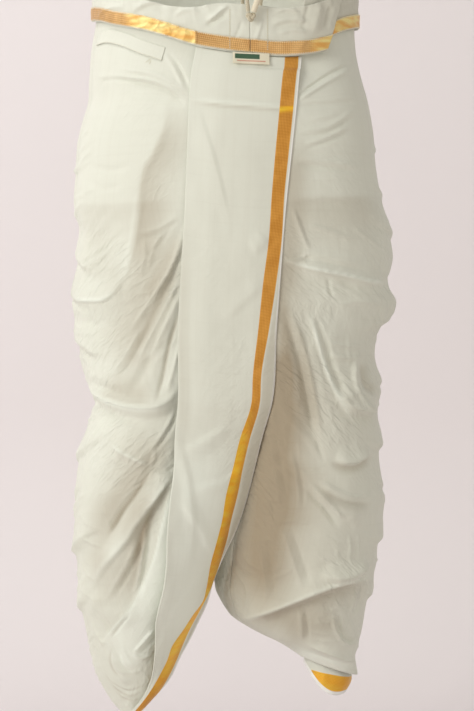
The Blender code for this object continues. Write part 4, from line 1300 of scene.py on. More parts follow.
    def tone(self, x: np.ndarray, z: np.ndarray, in_front: np.ndarray) -> np.ndarray:
        """Painted shade, with a single layer showing through, or below zero painted highlight.

        Args:
            x: the points' places across.
            z: their heights.
            in_front: how far each faces forwards, from 0 to 1.

        Returns:
            The tones.
        """
        keep = self.side.value
        near = [tone for tone in LEG_PAINTED_LIGHT_AND_LAYERS if tone.path[0][0] * keep > 0]
        return np.clip(in_front * Relief(near).lift(x, z), BRIGHTEST, 1.0)

    def build(self) -> list[bpy.types.Object]:
        """Makes the leg's front, and its back with the inner side in one piece.

        Returns:
            The two pieces.
        """
        name = f"{self.side.name.lower()}_leg"
        levels = np.linspace(0.0, self.sections[-1].level, self.front_rows)
        mesh = bmesh.new()
        self.face = self.lay(mesh, levels, self.front_columns, Wrap.FRONT)
        front = self.close(mesh, f"{name}_front_cloth", FORWARDS)
        declare(front, "cotton", f"{name}_front")
        levels = np.linspace(0.0, self.sections[-1].level, self.back_rows)
        mesh = bmesh.new()
        self.lay(mesh, levels, self.back_columns, Wrap.BACK)
        self.lay(mesh, levels[levels < CROTCH_LEVEL], self.inner_columns, Wrap.INNER)
        bmesh.ops.remove_doubles(mesh, verts=mesh.verts, dist=MERGE)
        back = self.close(mesh, f"{name}_back_cloth", BACKWARDS)
        declare(back, "cotton", f"{name}_back", f"{name[:-4]}_inner_leg")
        return [front, back]

    def lay(self, mesh: bmesh.types.BMesh, levels: np.ndarray, columns: int,
            part: Wrap) -> np.ndarray:
        """Adds one part of the leg to a bmesh.

        Args:
            mesh: the bmesh.
            levels: the rings' levels.
            columns: how many points each has.
            part: the part.

        Returns:
            Its points.
        """
        ring, out, around = self.panel(levels, columns, part)
        points, tone = self.dress(ring, out, around, levels)
        along = np.repeat(-levels[:, None], columns, axis=1)
        lay_grid(mesh, points, {"across": around, "along": along, "tone": tone,
                                "gold": self.hem(levels, around)})
        return points

    def close(self, mesh: bmesh.types.BMesh, name: str, way: tuple) -> bpy.types.Object:
        """Makes a piece of the cloth laid so far.

        Args:
            mesh: the cloth.
            name: the piece's name.
            way: the direction that it faces.

        Returns:
            The piece.
        """
        face_towards(mesh, way)
        piece = link(name, mesh, self.cotton)
        thicken(piece, CLOTH)
        return piece

    def hem(self, levels: np.ndarray, around: np.ndarray) -> np.ndarray:
        """Where the zari border lies along the right leg's hem.

        Args:
            levels: the rings' levels.
            around: their points' distances round.

        Returns:
            A share from 0 at the border's upper edge to 1 at its lower edge.
        """
        above = levels - self.sections[-1].level
        if self.side is Side.LEFT:
            return np.full(around.shape, NO_BORDER)
        return np.repeat((HEM_GOLD_RISE - above[:, None]) / HEM_GOLD_WIDTH, around.shape[1], axis=1)


# ---------------------------------------------------------------- the front fall


@dataclass
class FrontFall:
    """The length of cloth that falls in front from the waist to the right ankle.

    Args:
        cotton: its finish, with the zari border woven in.
        behind: the cloth that it lies over.
        rows: how many rows of points it has.
        plain_columns: how many steps a row has left of the border.
        border_columns: how many it has in the border.
        hem_columns: how many it has right of it.
        roll_radius: half the thickness of the turned left edge.
        roll_back: how far that edge is turned under.
        curl: how far the right edge curls back.
        edge_gap: how far the fall's edges lie in front of the cloth behind.
        soft_depth: the depth of its soft unevenness.
        fine_depth: the depth of its slight crumple.
        face: its points, once made.
    """

    cotton: bpy.types.Material
    behind: BVHTree
    rows: int = 270
    plain_columns: int = 48
    border_columns: int = 16
    hem_columns: int = 6
    roll_radius: float = 0.95
    roll_back: float = 9.0
    curl: float = 0.6
    edge_gap: float = 1.7
    soft_depth: float = 1.6
    fine_depth: float = 0.55
    face: np.ndarray = field(default_factory=lambda: np.zeros((0, 0, 3)))

    def taut(self, places: np.ndarray, level: float) -> np.ndarray:
        """Depths of the cloth pulled tight over whatever stands behind a level line.

        Args:
            places: places along the line.
            level: the line's height.

        Returns:
            The depth at each place.
        """
        found = []
        for x in np.linspace(places[0], places[-1], 41):
            levels = level + np.linspace(-FALL_REACH, FALL_REACH, 5)
            depths = [front_depth(self.behind, x, z) for z in levels]
            depths = [depth for depth in depths if depth is not None]
            if depths:
                found.append((x, min(depths)))
        hull: list[tuple[float, float]] = []
        for spot in found:
            while len(hull) > 1:
                (x0, y0), (x1, y1) = hull[-2:]
                if y1 < y0 + (spot[1] - y0) * (x1 - x0) / (spot[0] - x0):
                    break
                hull.pop()
            hull.append(spot)
        return np.interp(places, [spot[0] for spot in hull], [spot[1] for spot in hull])

    def coarse(self, levels: np.ndarray, across: np.ndarray) -> tuple[np.ndarray, np.ndarray]:
        """Depths and heights of a few rows of the fall, laid over both legs.

        Args:
            levels: the rows' levels.
            across: shares of the way from the left edge to the right one.

        Returns:
            The depths and the heights, a row for each level.
        """
        depths, heights = [], []
        for level in levels:
            start, end = column(FRONT_FALL, "start", level), column(FRONT_FALL, "end", level)
            x = start + (end - start) * across
            top = seam_level(front_angle(x)) - 2 * SEAM_GAP - level
            fade = ease(level, FALL_TOP_FADE, FRONT_FALL[0].level)
            z = level + (top - FRONT_FALL[0].level + level) * fade
            taut = self.taut(x, float(z.mean()))
            bend = across ** float(column(FRONT_FALL, "bend", level))
            turned = column(FRONT_FALL, "turn", level) * bend
            straight = taut[0] + (taut[-1] - taut[0]) * across
            depths.append(np.minimum(taut, straight) + turned - turned[-1])
            heights.append(z)
        deep = np.array(depths)
        for _ in range(2):
            deep[1:-1] = np.minimum(deep[1:-1], (deep[:-2] + deep[2:]) / 2)
        inside = ease(across, 0.0, 0.3) * ease(1.0 - across, 0.0, 0.3)
        close = self.edge_gap + (FALL_CLEARANCE + WALL - self.edge_gap) * inside
        return deep - close, np.array(heights)

    def grid(self) -> tuple[np.ndarray, np.ndarray]:
        """Lays the fall's points over the legs, with two columns on the border's edges.

        Returns:
            The points, and how far across the gold border each is.
        """
        levels = np.linspace(FRONT_FALL[0].level, FRONT_FALL[-1].level, 38)
        across = np.linspace(0.0, 1.0, 9)
        deep, high = self.coarse(levels, across)
        fine = np.linspace(levels[0], levels[-1], self.rows)
        down = np.stack([smooth(fine, levels, deep[:, j]) for j in range(9)], axis=-1)
        tall = np.stack([smooth(fine, levels, high[:, j]) for j in range(9)], axis=-1)
        counts = (self.plain_columns, self.border_columns, self.hem_columns)
        grid, gold = [], []
        for i, level in enumerate(fine):
            start, end = column(FRONT_FALL, "start", level), column(FRONT_FALL, "end", level)
            inner, outer = column(FALL_BORDER, "inner", level), column(FALL_BORDER, "outer", level)
            knots = [start, inner, min(outer, end - 0.5), end]
            runs = [np.linspace(a, b, n + 1)[:-1] for a, b, n in zip(knots, knots[1:], counts)]
            x = np.concatenate(runs + [[end]])
            share = (x - start) / (end - start)
            y, z = smooth(share, across, down[i]), smooth(share, across, tall[i])
            grid.append(np.stack([x, y, z], axis=-1))
            gold.append((x - inner) / (knots[2] - inner))
        return np.array(grid), np.array(gold)

    def creased(self, grid: np.ndarray) -> np.ndarray:
        """The grid with its creases and a soft unevenness.

        Args:
            grid: the fall's points.

        Returns:
            The moved points.
        """
        x, y, z = (grid[..., i].ravel() for i in range(3))
        lift = Relief(FALL_FOLDS).lift(x, z)
        soft = crumple(np.stack([x / 55.0, z / 130.0, y / 90.0], axis=-1), 5.0)
        small = crumple(np.stack([x, z * 0.6, y], axis=-1) / 24.0, 8.0, 2)
        lift += (self.soft_depth * soft + self.fine_depth * small) * ease(-z, *FALL_SMOOTH)
        lift = np.maximum(lift, FALL_DENT).reshape(grid.shape[:2])
        lifted = grid.copy()
        lifted[..., 1] -= lift
        return lifted

    def edges(self, grid: np.ndarray) -> tuple[np.ndarray, np.ndarray]:
        """Turns the left edge under and curls the right edge back.

        Args:
            grid: the fall's points.

        Returns:
            The points to set before the first column, and the curled grid.
        """
        thick = 2 * self.roll_radius
        spots = []
        for back in np.linspace(self.roll_back, 0.0, 6):
            x = grid[:, 0, 0] + back
            y = [np.interp(x[i], grid[i, :, 0], grid[i, :, 1]) for i in range(len(x))]
            spots.append(np.stack([x, np.array(y) + thick, grid[:, 0, 2]], axis=-1))
        for angle in np.linspace(0.15, 0.85, 5) * math.pi:
            out = np.array([-math.sin(angle), 1 + math.cos(angle), 0.0]) * self.roll_radius
            spots.append(grid[:, 0] + out)
        curled = grid.copy()
        tail = self.hem_columns + 1
        bend = np.linspace(0.0, 1.0, tail) ** 2
        strength = ease(-grid[:, 0, 2], *FALL_CURL)[:, None]
        curled[:, -tail:, 1] += self.curl * bend * strength
        return np.stack(spots, axis=1), curled

    def build(self) -> bpy.types.Object:
        """Makes the fall in one piece with its border.

        Returns:
            The piece.
        """
        grid, gold = self.grid()
        grid = self.creased(grid)
        under, grid = self.edges(grid)
        whole = np.concatenate([under, grid], axis=1)
        self.face = whole
        gold = np.concatenate([np.full(under.shape[:2], -4.0), gold], axis=1)
        across, along = run_lengths(whole)
        x, z = whole[..., 0].ravel(), whole[..., 2].ravel()
        # Painted shade and painted highlight on the fall, and painted shade on its plain edge.
        tone = np.clip(Relief(FALL_PAINTED_LIGHT).lift(x, z), BRIGHTEST, 1.0).reshape(gold.shape)
        near = np.abs(whole[:, -1:, 0] - whole[..., 0])
        selvedge = (1.0 - ease(near, 0.8, 2.4)) * (gold > 1.0)
        tone = tone + PLAIN_EDGE_PAINTED_SHADE * ease(gold, 1.0, 1.3) * ease(-whole[..., 2], *FALL_SHADE)
        satin = Relief(FALL_SATIN_PAINTED_SHEEN).lift(x, z).reshape(gold.shape)
        marks = {"across": across, "along": along, "gold": gold, "tone": tone,
                 "selvedge": selvedge, "satin": satin}
        piece = sheet("front_fall_cloth", whole, marks, self.cotton)
        declare(piece, "cotton", "front_fall")
        return piece


# How much painted shade, with a single layer showing through, darkens and warms the plain
# edge beyond the border, and the distances below the waist over which the unevenness, the
# edge's curl and that painted shade set in.
PLAIN_EDGE_PAINTED_SHADE = 0.32
FALL_SMOOTH, FALL_CURL, FALL_SHADE = (90, 200), (200, 420), (330, 480)
FALL_FOLDS = [
    Fold(1.2, 4, 12, [(-43, -131), (6, -137), (97, -143)], 0.5),
    Fold(-0.8, 8, 3, [(-43, -128), (6, -134), (97, -140)], 0.5),
    Fold(1.6, 5, 24, [(-34, -146), (-12, -214), (6, -286)], 0.5),
    Fold(2.2, 20, 12, [(36, -330), (46, -324), (56, -312)]),
    Fold(1.8, 22, 10, [(0, -420), (30, -392), (52, -370)], 0.3),
    Fold(3.0, 22, 9, [(6, -559), (-15, -572), (-33, -583), (-54, -590)], 0.4),
    Fold(1.8, 18, 9, [(30, -610), (0, -632), (-40, -640)], 0.3),
    Fold(2.2, 16, 10, [(-56, -650), (-30, -690), (-12, -730)], 0.3),
    Fold(2.0, 9, 14, [(-62, -560), (-44, -640), (-40, -700), (-50, -760)], 0.3),
    Fold(2.0, 12, 9, [(-40, -770), (-62, -800), (-84, -850), (-108, -905)], 0.4),
    Fold(1.4, 10, 8, [(-20, -740), (-44, -778), (-70, -812)], 0.3),
]
# Painted shade and painted highlight on the fall.
FALL_PAINTED_LIGHT = [
    Fold(0.22, 1.5, 6, [(-43, -137), (6, -143), (97, -149)]),
    Fold(-0.12, 6, 1.5, [(-43, -134), (6, -140), (97, -146)]),
    Fold(0.12, 14, 14, [(-50, -300), (-52, -450), (-50, -600)]),
    Fold(-0.25, 60, 60, [(-20, -560), (-30, -680), (-50, -780), (-90, -880)]),
    Fold(0.16, 26, 8, [(40, -640), (0, -730), (-30, -790)]),
]
# Where the border's gold carries painted sheen, along a crease near its top and down its lower
# reach.
FALL_SATIN_PAINTED_SHEEN = [
    Fold(0.9, 4, 9, [(60, -148), (104, -143)]),
    Fold(0.8, 14, 14, [(42, -500), (28, -560), (10, -640), (-6, -700), (-24, -785), (-62, -850),
                       (-85, -900), (-120, -944)]),
]


# ---------------------------------------------------------------- the waistband


@dataclass(frozen=True)
class BandPiece:
    """A stretch of the waistband between two angles.

    Args:
        name: its name, as its solids have it.
        table: the seam table that it follows.
        start: the angle where it begins.
        end: the angle where it ends, at its lower edge.
        lean: how far that end has moved round at the upper edge.
        lift: how much farther out it lies at its end.
        columns: how many points it has across.
        facing: the side it is seen from.
    """

    name: str
    table: list[Seam]
    start: float
    end: float
    lean: float
    lift: float
    columns: int
    facing: tuple[int, int, int]

    def grid(self, out: float, bottom: float, top: float, rows: int) -> tuple[np.ndarray, ...]:
        """Points of the stretch between two heights on it.

        Args:
            out: how far out from the waist ring it lies.
            bottom: its lower height above the seam.
            top: its upper height above the seam, or 0 for the band's own height.
            rows: how many rows it has.

        Returns:
            The points, their steps outwards and their shares of the band's height.
        """
        share = np.linspace(0.0, 1.0, rows)[:, None]
        along = np.linspace(0.0, 1.0, self.columns)[None, :]
        probe = self.start + (self.end - self.start) * along
        height = column(self.table, "height", probe)
        up = bottom + (top - bottom) * share + 0 * along if top else height * share
        angle = self.start + (self.end + self.lean * up / height - self.start) * along
        lift = out + self.lift * ease(along, *OVERLAP_RAMP) + 0 * up
        level = column(self.table, "level", angle) + up
        points = ring_point(angle, level, lift)
        return points, ring_point(angle, level, lift + 1.0) - points, up / height


@dataclass
class Waistband:
    """The gathered waistband in three stretches, each with a zari tape sewn on its lower edge.

    Args:
        cotton: the band's finish.
        zari: the tape's finish.
        rows: how many rows of points the band has.
        tape_rows: how many the tape has.
        band_out: how far out from the waist ring the band lies.
        gather_depth: the depth of its gathers.
        crease_depth: the depth of the creases along it.
        crumple_depth: the depth of its slight crumple.
        faces: each stretch's points, once made.
        tapes: each tape's points, once made.
    """

    cotton: bpy.types.Material
    zari: bpy.types.Material
    rows: int = 40
    tape_rows: int = 14
    band_out: float = BAND_LIFT + WALL
    gather_depth: float = 1.3
    crease_depth: float = 1.1
    crumple_depth: float = 0.5
    faces: dict[str, np.ndarray] = field(default_factory=dict)
    tapes: dict[str, np.ndarray] = field(default_factory=dict)

    @property
    def pieces(self) -> list[BandPiece]:
        """Lists the three stretches, round from the right side seam.

        Returns:
            The stretches.
        """
        fly_right, fly_left = FLY_ANGLE + FLY_HALF_SLIT, FLY_ANGLE - FLY_HALF_SLIT
        side = SIDE_ANGLE - 360.0 + SIDE_SLIT
        return [
            BandPiece("right", FRONT_SEAM, SIDE_ANGLE, fly_right, 0.0, 0.0, 220, FORWARDS),
            BandPiece("left", FRONT_SEAM, fly_left, OVERLAP_ANGLE, OVERLAP_LEAN, OVERLAP_LIFT, 90,
                      FORWARDS),
            BandPiece("back", BACK_SEAM, side, BACK_ANGLE, 0.0, 0.0, 360, BACKWARDS),
        ]

    def ruffle(self, points: np.ndarray, up: np.ndarray) -> np.ndarray:
        """How far gathers and creases move the band out.

        Args:
            points: the band's points.
            up: their shares of its height.

        Returns:
            The distances.
        """
        x, y, z = (points[..., i].ravel() for i in range(3))
        folds = Relief(BAND_FOLDS).lift(x, z) * (y < 20)
        place = np.arctan2(y / WAIST_HALF_DEPTH, x / WAIST_HALF_WIDTH) * GATHER_RADIUS
        spots = np.stack([place / GATHER_PITCH, z / 60.0, 0 * z], axis=-1)
        gather = 1.0 - 2.4 * np.abs(crumple(spots, 3.0))
        level = crumple(np.stack([place / 60.0, z / 16.0, 0 * z], axis=-1), 6.0)
        height = up.ravel()
        total = folds + self.gather_depth * gather * ease(height, 0.36, 0.9)
        total += self.crease_depth * level
        total += self.crumple_depth * crumple(points.reshape(-1, 3) / 9.0, 1.0)
        return total.reshape(up.shape) * ease(up, 0.0, 0.2)

    def crush(self, points: np.ndarray) -> np.ndarray:
        """How far the tape's satin is crumpled out, most on the right of the front.

        Args:
            points: the tape's points.

        Returns:
            The distances.
        """
        x, y, z = (points[..., i].ravel() for i in range(3))
        there = ease(x, *CRUSH_RIGHT[:2]) * ease(-x, *CRUSH_RIGHT[2:]) * (y < 0)
        spots = np.stack([x / 15.0, z / 9.0, y / 30.0], axis=-1)
        fine = np.abs(crumple(spots, 2.0, 2))
        ridge = Relief(TAPE_FOLDS).lift(x, z) * (y < 0)
        return ((0.25 + 2.2 * there) * fine + ridge).reshape(points.shape[:2])

    def build(self) -> list[bpy.types.Object]:
        """Makes the band's three stretches with their tapes.

        Returns:
            Each stretch's cloth and its tape in turn.
        """
        made = []
        for piece in self.pieces:
            points, out, up = piece.grid(self.band_out, 0.0, 0.0, self.rows)
            points = points + out * self.ruffle(points, up)[..., None]
            self.faces[piece.name] = points
            made.append(self.strip(f"waistband_{piece.name}_cloth", points, self.cotton,
                                   piece.facing))
            declare(made[-1], "cotton", f"waistband_{piece.name}")
            tape_out = self.band_out + SEAM_GAP + TRIM_WALL
            top = ZARI_RISE + ZARI_WIDTH
            points, out, up = piece.grid(tape_out, ZARI_RISE, top, self.tape_rows)
            lift = self.ruffle(points, up) + self.crush(points)
            points = points + out * lift[..., None]
            self.tapes[piece.name] = points
            made.append(self.strip(f"zari_{piece.name}", points, self.zari, piece.facing))
            declare(made[-1], "zari", f"zari_tape_{piece.name}")
        return made

    def strip(self, name: str, points: np.ndarray, finish: bpy.types.Material,
              facing: tuple[int, int, int]) -> bpy.types.Object:
        """Makes one strip of cloth, with how far up it each point is kept for its finish.

        Args:
            name: its name.
            points: its points.
            finish: its finish.
            facing: the direction that it faces.

        Returns:
            The piece.
        """
        across, along = run_lengths(points)
        up = np.repeat(np.linspace(0.0, 1.0, len(points))[:, None], points.shape[1], axis=1)
        x, y = points[..., 0], points[..., 1]
        # Painted sheen on the pressed satin, at the right of the front and at the left end.
        pressed = ease(x, *SATIN_PAINTED_SHEEN_RIGHT[:2]) * ease(-x, *SATIN_PAINTED_SHEEN_RIGHT[2:]) * (y < 0)
        satin = np.maximum(pressed, ease(x, *SATIN_PAINTED_SHEEN_LEFT) * (y < 20))
        marks = {"across": across, "along": along, "gold": up, "satin": satin,
                 "tone": BAND_PAINTED_SHADE * ease(x, 30, 130)}
        if finish is self.cotton:
            marks["gold"] = np.full(up.shape, NO_BORDER)
        return sheet(name, points, marks, finish, CLOTH, facing)


BAND_FOLDS = [
    Fold(2.6, 8, 4, [(64, -34), (86, -29), (112, -32)], 0.4),
    Fold(-2.0, 4, 6, [(64, -40), (88, -35), (110, -38)], 0.4),
    Fold(1.8, 6, 4, [(70, -47), (92, -43), (110, -46)], 0.4),
    Fold(2.0, 6, 4, [(66, -20), (84, -16), (100, -22)], 0.4),
    Fold(2.8, 9, 12, [(116, -46), (120, -28), (127, -6)], 0.2),
    Fold(-1.6, 6, 6, [(104, -44), (107, -26), (112, -6)], 0.2),
    Fold(-2.0, 5, 6, [(132, -40), (136, -24), (141, -8)], 0.2),
    Fold(4.0, 7, 4, [(-22, -31), (-13, -26), (-2, -17), (8, -12)], 0.5),
    Fold(-3.2, 4, 7, [(-24, -36), (-13, -32), (-2, -25), (6, -20)], 0.4),
    Fold(2.4, 8, 5, [(-26, -12), (-18, -6), (-6, -4)], 0.4),
    Fold(2.2, 8, 5, [(-120, -12), (-96, -3), (-66, -3)], 0.4),
    Fold(-1.8, 5, 6, [(-120, -17), (-96, -8), (-66, -8)], 0.4),
    Fold(1.8, 6, 6, [(-66, -22), (-46, -15), (-30, -20)], 0.4),
    Fold(2.0, 7, 5, [(-168, -10), (-150, -4), (-130, -6)], 0.4),
    Fold(-1.2, 4, 4, [(12, -58), (20, -44), (24, -30)], 0.4),
    Fold(1.6, 5, 5, [(40, -60), (46, -44), (50, -26)], 0.4),
]
# How much painted shade darkens and warms the band towards its left, and where the tape is
# crushed and pressed to satin, which carries painted sheen.
BAND_PAINTED_SHADE = 0.22
CRUSH_RIGHT = (-140, -118, 36, 44)
SATIN_PAINTED_SHEEN_RIGHT = (-142, -112, 34, 40)
SATIN_PAINTED_SHEEN_LEFT = (104, 126)
TAPE_FOLDS = [
    Fold(2.6, 8, 2.5, [(-40, -66), (-35, -54), (-38, -42), (-52, -32)], 0.7),
    Fold(1.8, 6, 3, [(-60, -60), (-50, -52), (-52, -42), (-66, -34)], 0.6),
    Fold(1.6, 5, 3, [(-84, -52), (-70, -44), (-72, -34)], 0.6),
    Fold(1.4, 5, 3, [(-120, -38), (-104, -34), (-92, -26)], 0.6),
    Fold(1.4, 5, 3, [(-104, -46), (-90, -40), (-84, -32)], 0.6),
]


# ---------------------------------------------------------------- pocket, cuff and label


@dataclass
class PocketWelt:
    """The slanted welt of the side pocket on the right hip.

    Args:
        cotton: its finish.
        behind: the leg's cloth.
        lower: its lower edge.
        rise: how far across and up its slit is from there.
        lift: how far out it lies.
        puff: how much farther out its lower part is.
        wall: its thickness.
        face: its points, once made.
    """

    cotton: bpy.types.Material
    behind: BVHTree
    lower: Path = ((-171, -50), (-155, -50), (-133, -58), (-109, -70), (-81, -81))
    rise: tuple[float, float] = (5.0, 18.0)
    lift: float = 0.65
    puff: float = 1.5
    wall: float = 0.3
    face: np.ndarray = field(default_factory=lambda: np.zeros((0, 0, 3)))

    def spot(self, x: float, z: float, lift: float) -> np.ndarray:
        """Finds a point out from the leg's cloth, at a place seen from the front."""
        found, normal = self.behind.ray_cast(Vector((x, AHEAD, z)), Vector((0, 1, 0)))[:2]
        return np.array(found + (-normal if normal.y > 0 else normal) * lift)

    def build(self) -> bpy.types.Object:
        """Makes the welt, a little puffed along its lower edge.

        Returns:
            The piece.
        """
        lower = fold_path(self.lower, steps=24)
        grid = []
        along = np.sin(np.pi * np.linspace(0.04, 0.96, len(lower))) ** 0.5
        for share in np.linspace(0.0, 1.0, 18):
            puff = self.lift + self.puff * along * float(ease(1.0 - share, 0.45, 1.0))
            spots = lower + np.array(self.rise) * share
            grid.append([self.spot(x, z, out) for (x, z), out in zip(spots, puff)])
        self.face = np.array(grid)
        across, along = run_lengths(self.face)
        plain = np.full(across.shape, NO_BORDER)
        marks = {"across": across, "along": along, "gold": plain, "tone": 0 * plain}
        piece = sheet("pocket_welt_cloth", self.face, marks, self.cotton, self.wall)
        declare(piece, "cotton", "pocket_welt")
        return piece


@dataclass
class AnkleCuff:
    """The lower layer at the left ankle, with a zari border above a white selvedge.

    Args:
        cotton: its finish.
        rows: how many rings it has.
        columns: how many points round it has.
        gold_top: the height of the border's upper edge at the middle, and its slope.
        selvedge: the width of the selvedge.
    """

    cotton: bpy.types.Material
    rows: int = 44
    columns: int = 170
    gold_top: tuple[float, float] = (-864.0, -0.2)
    selvedge: float = 5.0

    def build(self) -> bpy.types.Object:
        """Makes the cuff, a short tube with a rounded lower edge.

        Returns:
            The piece.
        """
        grid = []
        for level in np.linspace(LEFT_CUFF[0].outer_level, LEFT_CUFF[-1].outer_level, self.rows):
            row = {name: float(column(LEFT_CUFF, name, level)) for name in CuffRing._fields[1:]}
            turn = np.linspace(-math.pi, math.pi, self.columns)
            middle = (row["outer_x"] + row["inner_x"]) / 2
            half = (row["outer_x"] - row["inner_x"]) / 2
            x = middle + half * np.cos(turn)
            y = -np.where(turn > 0, row["front"], row["back"]) * np.sin(turn)
            share = (1 - np.cos(turn)) / 2
            z = level + (row["inner_level"] - level) * share - row["sag"] * np.sin(np.pi * share)
            grid.append(np.stack([x, y, z], axis=-1))
        points = np.array(grid)
        spots = points.reshape(-1, 3) / 20.0
        ripple = 0.9 * crumple(spots, 4.0, 2).reshape(points.shape[:2])
        out = points - points.mean(axis=1, keepdims=True)
        out[..., 2] = 0.0
        points += out / np.linalg.norm(out, axis=2)[..., None] * ripple[..., None]
        points[:, -1] = points[:, 0]
        across, along = run_lengths(points)
        above = along[-1:] - along
        top, slope = self.gold_top
        band = top + slope * points[-1:, :, 0] - (points[-1:, :, 2] + self.selvedge)
        gold = (band - above + self.selvedge) / np.maximum(band, 0.01)
        gold = np.where(band > 0.5, gold, NO_BORDER)
        mesh = bmesh.new()
        # The cuff's border carries half the painted sheen.
        lay_grid(mesh, points, {"across": across, "along": along, "gold": gold, "tone": 0 * gold,
                                "selvedge": 1.0 - ease(above, self.selvedge - 0.8, self.selvedge),
                                "satin": 0.5 + 0 * gold})
        bmesh.ops.remove_doubles(mesh, verts=mesh.verts, dist=MERGE)
        face_outwards(mesh)
        piece = link("left_cuff_cloth", mesh, self.cotton)
        thicken(piece, CLOTH)
        declare(piece, "cotton", "left_cuff")
        return piece


@dataclass
class WovenLabel:
    """A small bare label that hangs from the waist seam over the front fall.

    Args:
        finish: its finish.
        behind: the front fall's cloth.
        middle: its middle, across.
        top: its upper edge at the middle.
        tilt: how far it slopes down to its left, for each millimetre across.
        hung_from: the height below which it lies over the fall.
        gap: how far it hangs in front of the fall.
        curl: how far its lower edge curls off.
        wave: how far that edge waves.
        wall: its thickness.
    """

    finish: bpy.types.Material
    behind: BVHTree
    middle: float = 36.0
    top: float = -73.0
    tilt: float = 0.04
    hung_from: float = -84.0
    gap: float = 1.5
    curl: float = 2.2
    wave: float = 0.6
    wall: float = 0.3

    def build(self) -> bpy.types.Object:
        """Makes the label, curling off the cloth towards its lower corners.

        Returns:
            The piece.
        """
        grid = []
        for drop in np.linspace(0.0, LABEL_HEIGHT, 14):
            row = []
            for across in np.linspace(-0.5, 0.5, 44):
                x = self.middle + LABEL_WIDTH * across
                z = self.top - self.tilt * LABEL_WIDTH * across - drop
                depth = front_depth(self.behind, x, min(z, self.hung_from))
                share = drop / LABEL_HEIGHT
                curl = self.curl * share ** 2 * (0.5 + 2.4 * abs(across))
                curl += self.wave * math.sin(9 * across)
                row.append((x, depth - self.gap - curl * share, z))
            grid.append(row)
        points = np.array(grid)
        rows, columns = points.shape[:2]
        across = np.repeat(np.linspace(0, LABEL_WIDTH, columns)[None, :], rows, axis=0)
        along = np.repeat(np.linspace(0, LABEL_HEIGHT, rows)[:, None], columns, axis=1)
        piece = sheet("woven_label", points, {"across": across, "along": along}, self.finish,
                      self.wall)
        declare(piece, "label", "label")
        return piece


# ---------------------------------------------------------------- the drawcord


def round_cord(name: str, points: Sequence[Sequence[float]], radius: float,
               finish: bpy.types.Material, closed: bool = False) -> bpy.types.Object:
    """Makes a piece of round cord.

    Args:
        name: its name.
        points: its centreline, in metres.
        radius: its radius in millimetres.
        finish: its finish.
        closed: whether its two ends meet.

    Returns:
        The piece.
    """
    curve = bpy.data.curves.new(name, "CURVE")
    curve.dimensions = "3D"
    curve.bevel_depth = radius * MM
    curve.bevel_resolution = 5
    curve.use_fill_caps = not closed
    line = curve.splines.new("POLY")
    line.points.add(len(points) - 1)
    line.use_cyclic_u = closed
    for spot, point in zip(line.points, points):
        spot.co = (*point, 1.0)
    line.use_smooth = True
    curve.materials.append(finish)
    piece = bpy.data.objects.new(name, curve)
    bpy.context.scene.collection.objects.link(piece)
    return piece


@dataclass(frozen=True)
class Strand:
    """One free end of the drawcord, from the knot over the waistband and down inside.

    Args:
        name: the piece's name.
        node: the solid that it stands for.
        radius: its radius.
        route: the points that it passes through.
    """

    name: str
    node: str
    radius: float
    route: Sequence[tuple[float, float, float]]

    def build(self, finish: bpy.types.Material) -> bpy.types.Object:
        """Makes the strand.

        Args:
            finish: its finish.

        Returns:
            The piece.
        """
        route = np.asarray(self.route, float)
        length = distances(route)
        fine = np.linspace(0.0, length[-1], 36)
        points = np.stack([smooth(fine, length, route[:, i]) for i in range(3)], axis=-1)
        piece = round_cord(self.name, points * MM, self.radius, finish)
        declare(piece, "drawcord", self.node)
        return piece

    def measure(self) -> float:
        """The strand's length in metres."""
        route = np.asarray(self.route, float)
        return float(np.linalg.norm(np.diff(route, axis=0), axis=1).sum()) * MM


THICK_STRAND = Strand("drawcord_thick_strand", "drawcord_thick", 3.8, (
    (39.0, -140.0, -20.6), (42.0, -142.0, -12.0), (46.0, -141.0, -2.0), (49.0, -134.0, 5.0),
    (49.0, -124.0, 7.0), (48.0, -116.0, 0.0), (46.0, -113.0, -16.0), (45.0, -113.0, -34.0),
))
THIN_STRAND = Strand("drawcord_thin_strand", "drawcord_thin", 2.4, (
    (31.8, -140.0, -20.6), (31.0, -141.0, -10.0), (30.0, -139.0, -1.0), (28.0, -132.0, 4.5),
    (26.0, -123.0, 6.0), (25.0, -116.0, 0.0), (25.0, -113.5, -14.0), (26.0, -113.5, -30.0),
))


@dataclass
class Drawcord:
    """The drawcord's knot in front of the waistband and its two ends.

    Args:
        smooth_finish: the thick end's finish.
        braid_finish: the finish of the thin end and the knot.
        centre: the knot's middle.
        radii: its half width, depth and height.
        wrap: the radius of its cord.
    """

    smooth_finish: bpy.types.Material
    braid_finish: bpy.types.Material
    centre: tuple[float, float, float] = (35.5, -139.0, -27.0)
    radii: tuple[float, float, float] = (7.2, 5.0, 7.0)
    wrap: float = 2.3

    def knot(self) -> bpy.types.Object:
        """Makes the small overhand knot, a closed round of cord drawn tight.

        Returns:
            The piece.
        """
        points = []
        for turn in np.linspace(0.0, 2 * math.pi, 61)[:-1]:
            trefoil = ((math.sin(turn) + 2 * math.sin(2 * turn)) / 3, -math.sin(3 * turn) * 0.5,
                       (math.cos(turn) - 2 * math.cos(2 * turn)) / 3)
            place = [centre + (radius - self.wrap) * share
                     for centre, radius, share in zip(self.centre, self.radii, trefoil)]
            points.append(Vector(place) * MM)
        piece = round_cord("drawcord_knot_wrap", points, self.wrap, self.braid_finish, True)
        declare(piece, "drawcord", "drawcord_knot")
        return piece

    def build(self) -> None:
        knot = self.knot()
        for strand, finish, pieces in ((THICK_STRAND, self.smooth_finish, [knot]),
                                       (THIN_STRAND, self.braid_finish, [])):
            piece = strand.build(finish)
            strand.measure()


# ---------------------------------------------------------------- finishes


